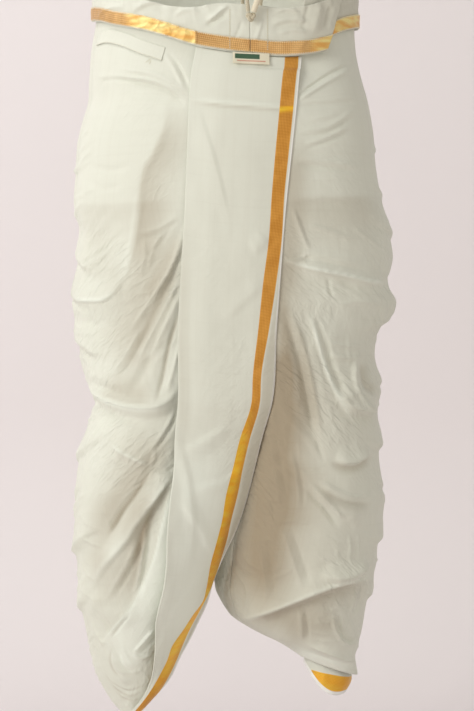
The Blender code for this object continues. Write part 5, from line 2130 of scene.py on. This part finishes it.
def linear(red: float, green: float, blue: float) -> tuple[float, float, float, float]:
    """Converts a colour from how it looks on a screen to how a shader takes it.

    Args:
        red: its red, from 0 to 255.
        green: its green.
        blue: its blue.

    Returns:
        Linear red, green and blue from 0 to 1, and full opacity.
    """
    def one(value: float) -> float:
        """Converts one number."""
        share = value / 255
        return share / 12.92 if share < 0.04 else ((share + 0.055) / 1.055) ** 2.4
    return one(red), one(green), one(blue), 1.0


def dimmed(colour: tuple, share: float) -> tuple[float, float, float, float]:
    """A darker shade of a colour, its light multiplied by a share."""
    return tuple(value * share for value in colour[:3]) + (1.0,)


def arithmetic(operation: str, turned: bool = False) -> Callable:
    """Makes the method that stands for an arithmetic sign.

    Args:
        operation: the maths node's operation.
        turned: whether the value stands on the sign's right.

    Returns:
        The method.
    """
    def apply(self: "Value", other: "Value | float") -> "Value":
        """Adds the node that works the sign out."""
        return self.maths(operation, *((other, self) if turned else (self, other)))
    return apply


class Value:
    """A number that flows through a material, with arithmetic.

    Args:
        recipe: the material that it belongs to.
        socket: the socket that it comes out of.
    """

    def __init__(self, recipe: "Recipe", socket: bpy.types.NodeSocket) -> None:
        """Keeps the material and the socket."""
        self.recipe = recipe
        self.socket = socket

    def maths(self, operation: str, *terms: "Value | float") -> "Value":
        """Adds a maths node that works on up to two terms."""
        node = self.recipe.add("ShaderNodeMath", {"operation": operation}, dict(enumerate(terms)))
        return Value(self.recipe, node.outputs[0])

    __add__, __radd__ = arithmetic("ADD"), arithmetic("ADD", True)
    __sub__, __rsub__ = arithmetic("SUBTRACT"), arithmetic("SUBTRACT", True)
    __mul__, __rmul__ = arithmetic("MULTIPLY"), arithmetic("MULTIPLY", True)
    __truediv__, __rtruediv__ = arithmetic("DIVIDE"), arithmetic("DIVIDE", True)
    __pow__, __rpow__ = arithmetic("POWER"), arithmetic("POWER", True)

    def size(self) -> "Value":
        """The value without its sign."""
        return self.maths("ABSOLUTE", self)

    def wave(self, length: float) -> "Value":
        """A sine of the value, from -1 to 1, that repeats after a length."""
        return self.maths("SINE", self * (2 * math.pi / length))

    def over(self, low: float, high: float) -> "Value":
        """Rises smoothly from 0 at one value to 1 at another.

        Args:
            low: where it is still 0.
            high: where it is 1.

        Returns:
            The share, from 0 to 1.
        """
        node = self.recipe.add("ShaderNodeMapRange", {"interpolation_type": "SMOOTHSTEP"},
                               {"Value": self, "From Min": low, "From Max": high})
        return Value(self.recipe, node.outputs[0])

    def within(self, rise: tuple[float, float], fall: tuple[float, float]) -> "Value":
        """Rises from 0 to 1 over one pair of values and falls back over another."""
        return self.over(*rise) * (1.0 - self.over(*fall))

    def least(self, other: "Value | float") -> "Value":
        """The smaller of two values."""
        return self.maths("MINIMUM", self, other)

    def most(self, other: "Value | float") -> "Value":
        """The larger of two values."""
        return self.maths("MAXIMUM", self, other)


class Recipe:
    """A material under construction.

    Args:
        name: the material's name.
    """

    def __init__(self, name: str) -> None:
        """Makes the material with its shader alone.

        Args:
            name: its name.
        """
        self.material = bpy.data.materials.new(name)
        self.material.use_nodes = True
        self.tree = self.material.node_tree
        self.shader = self.tree.nodes["Principled BSDF"]

    def add(self, kind: str, settings: dict, sockets: dict) -> bpy.types.ShaderNode:
        """Adds a node.

        Args:
            kind: its type.
            settings: its settings, set first.
            sockets: a value or link for each of its inputs, by name or number.

        Returns:
            The node.
        """
        node = self.tree.nodes.new(kind)
        for name, setting in settings.items():
            setattr(node, name, setting)
        for key, given in sockets.items():
            self.feed(node.inputs[key], given)
        return node

    def feed(self, socket: bpy.types.NodeSocket, given: object) -> None:
        """Links or sets one input.

        Args:
            socket: the input.
            given: a value or socket to link it to, or the number or colour to set it to.
        """
        if isinstance(given, Value):
            given = given.socket
        if isinstance(given, bpy.types.NodeSocket):
            self.tree.links.new(given, socket)
        else:
            socket.default_value = given

    def place(self, kind: str) -> bpy.types.NodeSocket:
        """The coordinates of a point: "Object" or "UV"."""
        return self.add("ShaderNodeTexCoord", {}, {}).outputs[kind]

    def parts(self, vector: bpy.types.NodeSocket) -> tuple[Value, ...]:
        """The three numbers of a vector."""
        node = self.add("ShaderNodeSeparateXYZ", {}, {"Vector": vector})
        return tuple(Value(self, output) for output in node.outputs)

    def scaled(self, vector: bpy.types.NodeSocket, scale: tuple) -> bpy.types.NodeSocket:
        """A vector with each of its numbers multiplied."""
        node = self.add("ShaderNodeVectorMath", {"operation": "MULTIPLY"}, {0: vector, 1: scale})
        return node.outputs[0]

    def mark(self, name: str) -> Value:
        """A number kept at each point of the mesh."""
        node = self.add("ShaderNodeAttribute", {"attribute_name": name}, {})
        return Value(self, node.outputs["Fac"])

    def noise(self, vector: bpy.types.NodeSocket, detail: float = 2.0) -> Value:
        """Makes smooth noise with features about one unit in size.

        Args:
            vector: the coordinates.
            detail: how much finer noise is added.

        Returns:
            The noise, from 0 to 1.
        """
        node = self.add("ShaderNodeTexNoise", {}, {"Vector": vector, "Scale": 1.0,
                                                   "Detail": detail})
        return Value(self, node.outputs[0])

    def grain(self, density: tuple[float, float, float], detail: float) -> Value:
        """Makes noise that is fixed to the piece, so many features to a metre."""
        return self.noise(self.scaled(self.place("Object"), density), detail)

    def blend(self, share: Value | float, first: object, second: object) -> bpy.types.NodeSocket:
        """Mixes two colours.

        Args:
            share: how much of the second colour shows, from 0 to 1.
            first: the first colour or its socket.
            second: the second one.

        Returns:
            The socket of the mixed colour.
        """
        node = self.add("ShaderNodeMix", {"data_type": "RGBA"},
                        {"Factor": share, 6: first, 7: second})
        return node.outputs[2]

    def bump(self, height: Value, distance: float, strength: float,
             under: bpy.types.NodeSocket | None = None) -> bpy.types.NodeSocket:
        """Makes a normal that follows a height.

        Args:
            height: the height, as a share of the distance.
            distance: the full height, in metres.
            strength: how much of it shows.
            under: the normal of the relief that this one lies on.

        Returns:
            The normal's socket.
        """
        sockets = {"Height": height, "Distance": distance, "Strength": strength}
        if under is not None:
            sockets["Normal"] = under
        return self.add("ShaderNodeBump", {}, sockets).outputs[0]

    def finish(self, **inputs: object) -> bpy.types.Material:
        """Sets the shader's inputs.

        Args:
            inputs: a value, socket or colour for each, with its name's spaces as underscores.

        Returns:
            The material.
        """
        for name, given in inputs.items():
            self.feed(self.shader.inputs[name.replace("_", " ")], given)
        return self.material


@dataclass(frozen=True)
class Weave:
    """The threads of a plain weave.

    Args:
        pitch: distance between two threads, in metres.
        slub: distance between two thicker threads, in metres.
        depth: the height of a thread, in metres.
    """

    pitch: float = 0.0006
    slub: float = 0.0045
    depth: float = 0.00012

    def threads(self, across: Value, along: Value) -> Value:
        """Works out the weave's height, where each thread goes over one and under the next."""
        warp, weft = across.wave(self.pitch * 2), along.wave(self.pitch * 2)
        return warp.size() + weft.size() - warp * weft * 0.5

    def slubs(self, recipe: Recipe, across: Value, along: Value) -> tuple[Value, Value]:
        """Finds the thicker threads.

        Args:
            recipe: the material.
            across: the distance across the cloth, in metres.
            along: the distance down the cloth, in metres.

        Returns:
            The noise of those that run down the cloth and of those across it.
        """
        def line(over: Value, down: Value, far: float) -> Value:
            """Draws noise out into lines.

            Args:
                over: the distance across the lines.
                down: the distance along them.
                far: the length of one, in metres.

            Returns:
                The noise.
            """
            node = recipe.add("ShaderNodeCombineXYZ", {},
                              {0: over / self.slub, 1: down / far, 2: far * 40})
            return recipe.noise(node.outputs[0], 3.0)
        return line(across, along, 0.35), line(along, across, 0.16)


@dataclass(frozen=True)
class Crinkle:
    """The fine creases of worn thin cotton, too fine for the mesh.

    Args:
        width: the distance between two creases, in metres.
        run: the length of one, in metres.
        depth: how deep they are, in metres.
        slope: how steeply they run down towards the outer side.
        begins: how far below the waist they begin, in metres.
        full: how far below the waist they are strongest.
    """

    width: float = 0.019
    run: float = 0.055
    depth: float = 0.0010
    slope: float = 0.95
    begins: float = 0.12
    full: float = 0.42

    def height(self, recipe: Recipe, across: Value, along: Value) -> Value:
        """Works out the creases' height.

        Args:
            recipe: the material.
            across: the distance across the cloth, in metres.
            along: the distance down from the waist, in metres.

        Returns:
            The height, as a share of the depth.
        """
        away = (across * across + 0.0009) ** 0.5
        warp = recipe.grain((14.0, 14.0, 14.0), 1.0) * 0.03
        over, down = along + away * self.slope + warp, away - along * self.slope
        place = recipe.add("ShaderNodeCombineXYZ", {},
                           {0: over / self.width, 1: down / self.run, 2: 3.0}).outputs[0]
        ridge = 1.0 - (recipe.noise(place, 2.0) - 0.5).size() * 7.0
        spot = recipe.scaled(recipe.place("Object"), (48.0, 48.0, 30.0))
        cells = recipe.add("ShaderNodeTexVoronoi", {"feature": "DISTANCE_TO_EDGE"},
                           {"Vector": spot, "Scale": 1.0})
        facet = Value(recipe, cells.outputs[0]).least(0.35)
        where = recipe.grain((9.0, 9.0, 9.0), 1.0).over(0.38, 0.62)
        calm = recipe.mark("tone").over(-0.25, -0.05) * 0.8 + 0.2
        strength = (along.over(self.begins, self.full) * 0.85 + 0.15) * calm
        return (ridge.most(0.0) * where + facet * 0.9) * strength


@dataclass(frozen=True)
class Cotton:
    """Fine unbleached cotton, with a zari border where the mesh's "gold" mark is from 0 to 1.

    Args:
        name: the material's name.
        light: its colour where it is thick, and the colour of painted highlight.
        warm: its colour where a single layer shows, and the colour of painted shade.
        weave: its threads.
        layers: how much of the warm colour shows everywhere.
        bordered: whether it has a border.
        crinkle: its fine creases.
    """

    name: str
    light: tuple = linear(235, 239, 226)
    warm: tuple = linear(166, 153, 130)
    weave: Weave = Weave()
    layers: float = 0.21
    bordered: bool = False
    crinkle: Crinkle | None = None

    def make(self) -> bpy.types.Material:
        """Makes the material.

        Returns:
            The material.
        """
        recipe = Recipe(self.name)
        across, along, _ = recipe.parts(recipe.place("UV"))
        cloud = recipe.grain((7.0, 7.0, 4.0), 3.0)
        down, over = self.weave.slubs(recipe, across, along)
        # The warm colour shows as painted shade and where a single layer shows through; below zero
        # the mark paints highlight towards the light colour.
        share = (cloud.over(0.3, 0.75) * 0.06 + down.over(0.45, 0.75) * 0.03
                 + over.over(0.5, 0.8) * 0.03 + recipe.mark("tone") + self.layers)
        colour = recipe.blend(share.least(1.0), self.light, self.warm)
        threads = self.weave.threads(across, along)
        rough = 0.82 + cloud * 0.1
        metal: Value | float = 0.0
        height = threads * 0.3 + down * 0.4 + over * 0.4
        if self.bordered:
            gold, colour, shine = self.border(recipe, colour, across, along)
            rough = rough + (shine - rough) * gold
            metal = gold * 0.45
            height = height * (1.0 - gold) + gold * (threads + 1.2)
        normal = None
        if self.crinkle:
            creases = self.crinkle.height(recipe, across, along)
            normal = recipe.bump(creases, self.crinkle.depth, 1.0)
        normal = recipe.bump(height, self.weave.depth, 0.5, normal)
        return recipe.finish(Base_Color=colour, Roughness=rough, Metallic=metal, Normal=normal,
                             Specular_IOR_Level=0.25, Sheen_Weight=0.2, Sheen_Roughness=0.5)

    def border(self, recipe: Recipe, plain: bpy.types.NodeSocket, across: Value,
               along: Value) -> tuple[Value, bpy.types.NodeSocket, Value]:
        """Weaves the border.

        Args:
            recipe: the material.
            plain: the cotton's colour.
            across: the distance across the cloth, in metres.
            along: the distance down the cloth, in metres.

        Returns:
            The gold's mask, the colours of cotton and gold together, and the gold's roughness.
        """
        gold = recipe.mark("gold")
        inside = gold.within((-0.02, 0.02), (0.98, 1.02))
        colour, shine = ZARI_LOOK.surface(recipe, gold, across, along)
        plain = recipe.blend(recipe.mark("selvedge"), plain, linear(243, 242, 237))
        return inside, recipe.blend(inside, plain, colour), shine


@dataclass(frozen=True)
class Zari:
    """Gold-coloured metallic thread woven in a fine lattice.

    Args:
        name: the material's name.
        light: the colour of a thread's crest.
        dark: the colour between threads.
        high: the painted highlight on the streaks where the tape is pressed smooth.
        low: the pressed gold between those painted highlights.
        lattice: the size of the woven diamonds, in metres.
    """

    name: str
    light: tuple = linear(240, 200, 136)
    dark: tuple = linear(192, 140, 74)
    high: tuple = linear(255, 236, 158)
    low: tuple = linear(240, 182, 94)
    lattice: float = 0.0027

    def surface(self, recipe: Recipe, up: Value, across: Value,
                along: Value) -> tuple[bpy.types.NodeSocket, Value]:
        """Works out how the gold looks.

        Args:
            recipe: the material.
            up: the place across the tape, from 0 to 1.
            across: the distance along one thread, in metres.
            along: the distance along the other thread, in metres.

        Returns:
            The colour and the roughness.
        """
        first = (across + along).wave(self.lattice * 2)
        second = (across - along).wave(self.lattice * 2)
        diamond = (first * second).over(-0.5, 0.7)
        worn = recipe.grain((60.0, 60.0, 60.0), 3.0)
        # Painted sheen: where the tape is pressed to satin, noise streaks of painted highlight
        # replace the lattice, and the roughness is really lower.
        satin = recipe.mark("satin").over(0.0, 1.0)
        crease = recipe.grain((34.0, 34.0, 130.0), 1.0)
        edge = (up - 0.5).size().over(0.40, 0.47)
        share = diamond * 0.6 + worn.over(0.35, 0.7) * 0.3 + edge * 0.3
        colour = recipe.blend(share.least(1.0), self.dark, self.light)
        pressed = recipe.blend(crease.over(0.3, 0.72), self.low, self.high)
        return recipe.blend(satin, colour, pressed), 0.34 + worn * 0.2 - satin * 0.08

    def make(self) -> bpy.types.Material:
        """Makes the tape's material.

        Returns:
            The material.
        """
        recipe = Recipe(self.name)
        across, along, _ = recipe.parts(recipe.place("UV"))
        up = recipe.mark("gold")
        colour, rough = self.surface(recipe, up, across, along)
        thin = (up - 0.5).size().over(0.44, 0.46) * along.wave(0.0021).over(-0.6, 0.6)
        colour = recipe.blend(thin * 0.9, colour, linear(246, 238, 214))
        ribs = along.wave(0.0007).size() + (across + along).wave(self.lattice * 2) * 0.5
        normal = recipe.bump(ribs, 0.0002, 0.6)
        return recipe.finish(Base_Color=colour, Roughness=rough, Metallic=0.45, Normal=normal,
                             Sheen_Weight=0.1)


ZARI_LOOK = Zari("woven_zari", linear(238, 176, 84), linear(196, 130, 42),
                 linear(255, 212, 64), linear(255, 188, 36), 0.0020)


@dataclass(frozen=True)
class Braid:
    """A cotton cord, twisted or smooth.

    Args:
        name: the material's name.
        colour: its colour.
        strands: how strongly its strands show, in relief and in painted shade between them.
        twist: the distance from one strand to the next but one, in metres.
    """

    name: str
    colour: tuple
    strands: float
    twist: float = 0.0032

    def make(self) -> bpy.types.Material:
        """Makes the material.

        Returns:
            The material.
        """
        recipe = Recipe(self.name)
        x, y, z = recipe.parts(recipe.place("Object"))
        strand = (x * 1.0 + z * 0.8 + y * 0.5).wave(self.twist).size()
        fuzz = recipe.grain((900.0, 900.0, 900.0), 2.0)
        # Painted shade darkens the grooves between the strands.
        share = (1.0 - strand) * self.strands + fuzz * 0.2
        colour = recipe.blend(share, self.colour, dimmed(self.colour, 0.62))
        normal = recipe.bump(strand * self.strands + fuzz * 0.4, 0.0006, 0.6)
        return recipe.finish(Base_Color=colour, Roughness=0.75, Normal=normal, Sheen_Weight=0.3)


@dataclass(frozen=True)
class LabelCloth:
    """A small woven label with a plain green block and a thin reddish line.

    Args:
        name: the material's name.
    """

    name: str

    def make(self) -> bpy.types.Material:
        """Makes the material.

        Returns:
            The material.
        """
        recipe = Recipe(self.name)
        across, along, _ = recipe.parts(recipe.place("UV"))
        u, v = across / (LABEL_WIDTH * MM), along / (LABEL_HEIGHT * MM)
        block = u.within((0.05, 0.07), (0.72, 0.74)) * v.within((0.10, 0.14), (0.52, 0.58))
        line = u.within((0.1, 0.13), (0.88, 0.9)) * v.within((0.66, 0.69), (0.76, 0.79))
        threads = across.wave(0.0008).size() * 0.5 + along.wave(0.0007).size() * 0.5
        colour = recipe.blend(threads * 0.5, linear(240, 234, 210), linear(206, 196, 166))
        colour = recipe.blend(block * (0.9 + threads * 0.1), colour, linear(30, 80, 50))
        colour = recipe.blend(line * 0.7, colour, linear(196, 92, 70))
        normal = recipe.bump(threads, 0.0002, 0.6)
        return recipe.finish(Base_Color=colour, Roughness=0.6, Normal=normal)


@dataclass(frozen=True)
class Thread:
    """Sewing thread.

    Args:
        name: the material's name.
        colour: its colour.
    """

    name: str
    colour: tuple

    def make(self) -> bpy.types.Material:
        """Makes the material.

        Returns:
            The material.
        """
        recipe = Recipe(self.name)
        ply = recipe.grain((2500.0, 2500.0, 2500.0), 1.0)
        colour = recipe.blend(ply, self.colour, dimmed(self.colour, 0.7))
        return recipe.finish(Base_Color=colour, Roughness=0.6, Normal=recipe.bump(ply, 0.0002, 0.4))


@dataclass(frozen=True)
class Backdrop:
    """The studio's seamless paper, clear from behind so that the garment's back is seen.

    Args:
        name: the material's name.
        colour: its colour.
    """

    name: str
    colour: tuple = linear(236, 230, 230)

    def make(self) -> bpy.types.Material:
        """Makes the material.

        Returns:
            The material.
        """
        recipe = Recipe(self.name)
        grain = recipe.grain((2.0, 2.0, 2.0), 4.0)
        colour = recipe.blend(grain, self.colour, dimmed(self.colour, 0.96))
        geometry = recipe.add("ShaderNodeNewGeometry", {}, {})
        behind = Value(recipe, geometry.outputs["Backfacing"])
        return recipe.finish(Base_Color=colour, Roughness=0.95, Alpha=1.0 - behind)


# ---------------------------------------------------------------- sewing


@dataclass
class Sewing:
    """All the stitches, short raised threads laid along lines on the cloth.

    Args:
        finish: their finish.
        length: a stitch's length.
        pitch: the distance from one to the next.
        radius: half its width.
        mesh: all the stitches so far.
        thread: the thread of one stitch.
    """

    finish: bpy.types.Material
    length: float = 2.3
    pitch: float = 3.1
    radius: float = 0.32
    mesh: bmesh.types.BMesh = field(default_factory=bmesh.new)
    thread: bpy.types.Mesh = field(init=False)

    def __post_init__(self) -> None:
        """Makes the round thread of one stitch, lengthwise along X."""
        one = bmesh.new()
        bmesh.ops.create_uvsphere(one, u_segments=6, v_segments=4, radius=1.0,
                                  matrix=Matrix.Rotation(math.pi / 2, 4, "Y"))
        # The operator's own order changes from run to run, so it is set by place.
        way = Vector((1.0, 0.3717, 0.1193))
        one.verts.sort(key=lambda vert: round(vert.co.dot(way), 4))
        one.faces.sort(key=lambda face: round(face.calc_center_median().dot(way), 4))
        self.thread = bpy.data.meshes.new("stitch")
        one.to_mesh(self.thread)
        one.free()

    def run(self, line: np.ndarray, out: np.ndarray, lift: float = 0.15) -> None:
        """Sews along a line.

        Args:
            line: points on the cloth's outer face, in millimetres.
            out: the outward direction at each.
            lift: how far the stitches' middles stand out.
        """
        length = distances(line)
        places = np.arange(self.pitch / 2, length[-1], self.pitch)
        middle, away = resample(places, length, line), resample(places, length, out)
        ahead = resample(places + 0.5, length, line)
        for spot, front, normal in zip(middle, ahead, away):
            self.stitch(Vector(spot), Vector(front - spot), Vector(normal), lift)

    def stitch(self, spot: Vector, heading: Vector, normal: Vector, lift: float,
               length: float = 0.0) -> None:
        """Adds one stitch.

        Args:
            spot: where its middle is.
            heading: the direction that it runs in.
            normal: the cloth's outward direction there.
            lift: how far it stands out.
            length: its length, or 0 for the usual one.
        """
        if heading.length < 1e-6:
            return
        along = heading.normalized()
        side = normal.cross(along).normalized()
        up = along.cross(side)
        turn = Matrix((along, side, up)).transposed().to_4x4()
        size = Matrix.Diagonal(((length or self.length) / 2, self.radius, self.radius * 0.8, 1.0))
        place = Matrix.Translation((spot + up * lift) * MM) @ turn @ Matrix.Scale(MM, 4) @ size
        self.thread.transform(place)
        self.mesh.from_mesh(self.thread)
        self.thread.transform(place.inverted())

    def build(self) -> bpy.types.Object:
        """Joins all the stitches.

        Returns:
            The piece.
        """
        bpy.data.meshes.remove(self.thread)
        piece = link("seam_stitching", self.mesh, self.finish)
        declare(piece, "cotton")
        return piece


def outward(points: np.ndarray, row: int) -> np.ndarray:
    """Finds the outward directions along one row of a grid.

    Args:
        points: the grid's points.
        row: the row's number.

    Returns:
        The directions.
    """
    above = min(row + 1, len(points) - 1)
    up = points[above] - points[max(above - 2, 0)]
    over = np.gradient(points[row], axis=0)
    out = np.cross(over, up)
    out /= np.maximum(np.linalg.norm(out, axis=1), 1e-9)[:, None]
    middle = points.reshape(-1, 3).mean(axis=0) * np.array([1.0, 0.0, 1.0])
    away = points[row] - middle
    return out * np.sign((out[:, :2] * away[:, :2]).sum(axis=1) + 1e-9)[:, None]


# The waistband's upright seams, the heights between which they run, and two loose threads:
# each one's middle across and up, and how far it runs across and down.
UPRIGHT_SEAMS = [(8.2, "right"), (57.3, "left")]
UPRIGHT_RUN = (-70.0, -16.0)
LOOSE_ENDS = [(-99.0, -80.0, -8.5, 6.0), (-96.0, -82.0, -3.4, 6.5)]


def sew_garment(sewing: Sewing, band: Waistband, welt: PocketWelt) -> None:
    """Sews the tapes' two edges, the waistband's two upright lines and the welt.

    Args:
        sewing: the stitches.
        band: the waistband.
        welt: the pocket's welt.
    """
    for tape in band.tapes.values():
        for row in (1, len(tape) - 2):
            sewing.run(tape[row], outward(tape, row))
    for x, side in UPRIGHT_SEAMS:
        tree = grid_tree([band.faces[side], band.tapes[side]])
        for twin in (x - TWIN_SEAM, x + TWIN_SEAM):
            line, out = [], []
            for z in np.linspace(*UPRIGHT_RUN, 30):
                spot, normal = tree.ray_cast(Vector((twin, AHEAD, z)), Vector((0, 1, 0)))[:2]
                if spot is not None:
                    line.append(np.array(spot))
                    out.append(np.array(-normal if normal.y > 0 else normal))
            sewing.run(np.array(line), np.array(out), 0.25)
    sewing.run(welt.face[1], outward(welt.face, 1))
    # Two loose ends of thread hang from the slit.
    for x, z, over, down in LOOSE_ENDS:
        spot = Vector(welt.spot(x, z, 1.0))
        sewing.stitch(spot, Vector((over, 0.0, -down)), Vector((0, -1, 0)), 0.3,
                      math.hypot(over, down))


# ---------------------------------------------------------------- the studio


@dataclass(frozen=True)
class Lamp:
    """A soft area light.

    Args:
        name: its name.
        place: where it stands, in metres.
        target: what it points at.
        size: its width and height.
        power: its power in watts.
        colour: its colour.
    """

    name: str
    place: tuple[float, float, float]
    target: tuple[float, float, float]
    size: tuple[float, float]
    power: float
    colour: tuple[float, float, float]

    def build(self) -> None:
        """Puts the lamp in the scene."""
        data = bpy.data.lights.new(self.name, "AREA")
        data.shape = "RECTANGLE"
        data.size, data.size_y = self.size
        data.energy = self.power
        data.color = self.colour
        lamp = bpy.data.objects.new(self.name, data)
        lamp.location = self.place
        way = Vector(self.target) - Vector(self.place)
        lamp.rotation_euler = way.to_track_quat("-Z", "Y").to_euler()
        bpy.context.scene.collection.objects.link(lamp)


LAMPS = [
    Lamp("key", (-2.9, -2.7, 0.7), (0.0, 0.0, -0.4), (1.6, 1.9), 74.0, (1.0, 1.0, 0.975)),
    Lamp("fill", (2.4, -3.0, 0.2), (0.0, 0.0, -0.5), (2.2, 2.2), 11.0, (1.0, 0.92, 0.72)),
    Lamp("paper_light", (-1.4, 0.1, 1.6), (0.0, 1.3, -0.2), (1.2, 0.6), 15.0, (1.0, 0.985, 0.985)),
]


@dataclass(frozen=True)
class Studio:
    """A plain seamless backdrop, soft light and the camera, in metres.

    Args:
        floor: the floor's height.
        wall: how far back the wall is.
        bend: the radius between them.
        width: how wide the backdrop is.
        nearest: how far forwards the floor reaches.
        top: the wall's height.
        eye: where the camera is.
        lens: its focal length, in millimetres.
    """

    floor: float = -1.06
    wall: float = 1.3
    bend: float = 0.5
    width: float = 7.0
    nearest: float = -5.0
    top: float = 3.2
    eye: tuple[float, float, float] = (0.01755, -3.5, -0.4664)
    lens: float = 131.25

    def camera(self) -> None:
        """Sets up the camera, level with the garment's middle."""
        data = bpy.data.cameras.new("camera")
        data.lens = self.lens
        data.sensor_width = 36.0
        camera = bpy.data.objects.new("camera", data)
        camera.location = self.eye
        camera.rotation_euler = (math.pi / 2, 0.0, 0.0)
        bpy.context.scene.collection.objects.link(camera)
        bpy.context.scene.camera = camera

    def backdrop(self, finish: bpy.types.Material) -> None:
        """Makes the floor and wall in one curved sheet.

        Args:
            finish: its finish.
        """
        turn = np.linspace(0.0, math.pi / 2, 24)
        profile = [(self.nearest, self.floor)]
        profile += [(self.wall - self.bend + self.bend * math.sin(a),
                     self.floor + self.bend - self.bend * math.cos(a)) for a in turn]
        profile += [(self.wall, self.top)]
        mesh = bmesh.new()
        made = bmesh.ops.create_grid(mesh, x_segments=1, y_segments=len(profile) - 1, size=1.0)
        for vert in made["verts"]:
            y, z = profile[round((vert.co.y + 1) / 2 * (len(profile) - 1))]
            vert.co = Vector((vert.co.x * self.width / 2, y, z))
        face_towards(mesh, (0, -1, 1))
        link("backdrop", mesh, finish)

    def light(self) -> None:
        """Lights the studio."""
        scene = bpy.context.scene
        world = bpy.data.worlds.new("studio")
        world.use_nodes = True
        world.node_tree.nodes["Background"].inputs["Color"].default_value = (1.0, 0.965, 0.94, 1.0)
        world.node_tree.nodes["Background"].inputs["Strength"].default_value = 0.52
        scene.world = world
        scene.view_settings.view_transform = "Standard"
        for lamp in LAMPS:
            lamp.build()


# ---------------------------------------------------------------- the whole garment


def main() -> None:
    """Builds the studio, the drawcord and then the cloth, piece by piece."""
    logging.basicConfig(level=logging.INFO, format="%(asctime)s %(message)s")
    studio = Studio()
    studio.camera()
    Drawcord(Braid("cord_smooth", linear(232, 222, 196), 0.15).make(),
             Braid("cord_braided", linear(214, 204, 176), 0.8).make()).build()
    cotton = Cotton("cotton").make()
    creased = Cotton("cotton_creased", bordered=True, crinkle=Crinkle()).make()
    bordered = Cotton("cotton_bordered", bordered=True, crinkle=Crinkle(depth=0.0003)).make()
    zari = Zari("zari_tape").make()
    legs = [Leg(Side.RIGHT, creased), Leg(Side.LEFT, creased)]
    cloth = [piece for leg in legs for piece in leg.build()]
    behind = grid_tree([leg.face for leg in legs])
    fall = FrontFall(bordered, behind)
    panel = fall.build()
    band = Waistband(cotton, zari)
    strips = band.build()
    welt = PocketWelt(cotton, grid_tree([legs[0].face]))
    pocket = welt.build()
    cuff = AnkleCuff(bordered).build()
    label = WovenLabel(LabelCloth("label_cloth").make(), grid_tree([fall.face])).build()
    sewing = Sewing(Thread("sewing_thread", linear(240, 234, 210)).make())
    sew_garment(sewing, band, welt)
    stitches = sewing.build()
    studio.backdrop(Backdrop("paper").make())
    studio.light()


if __name__ == "__main__":
    main()
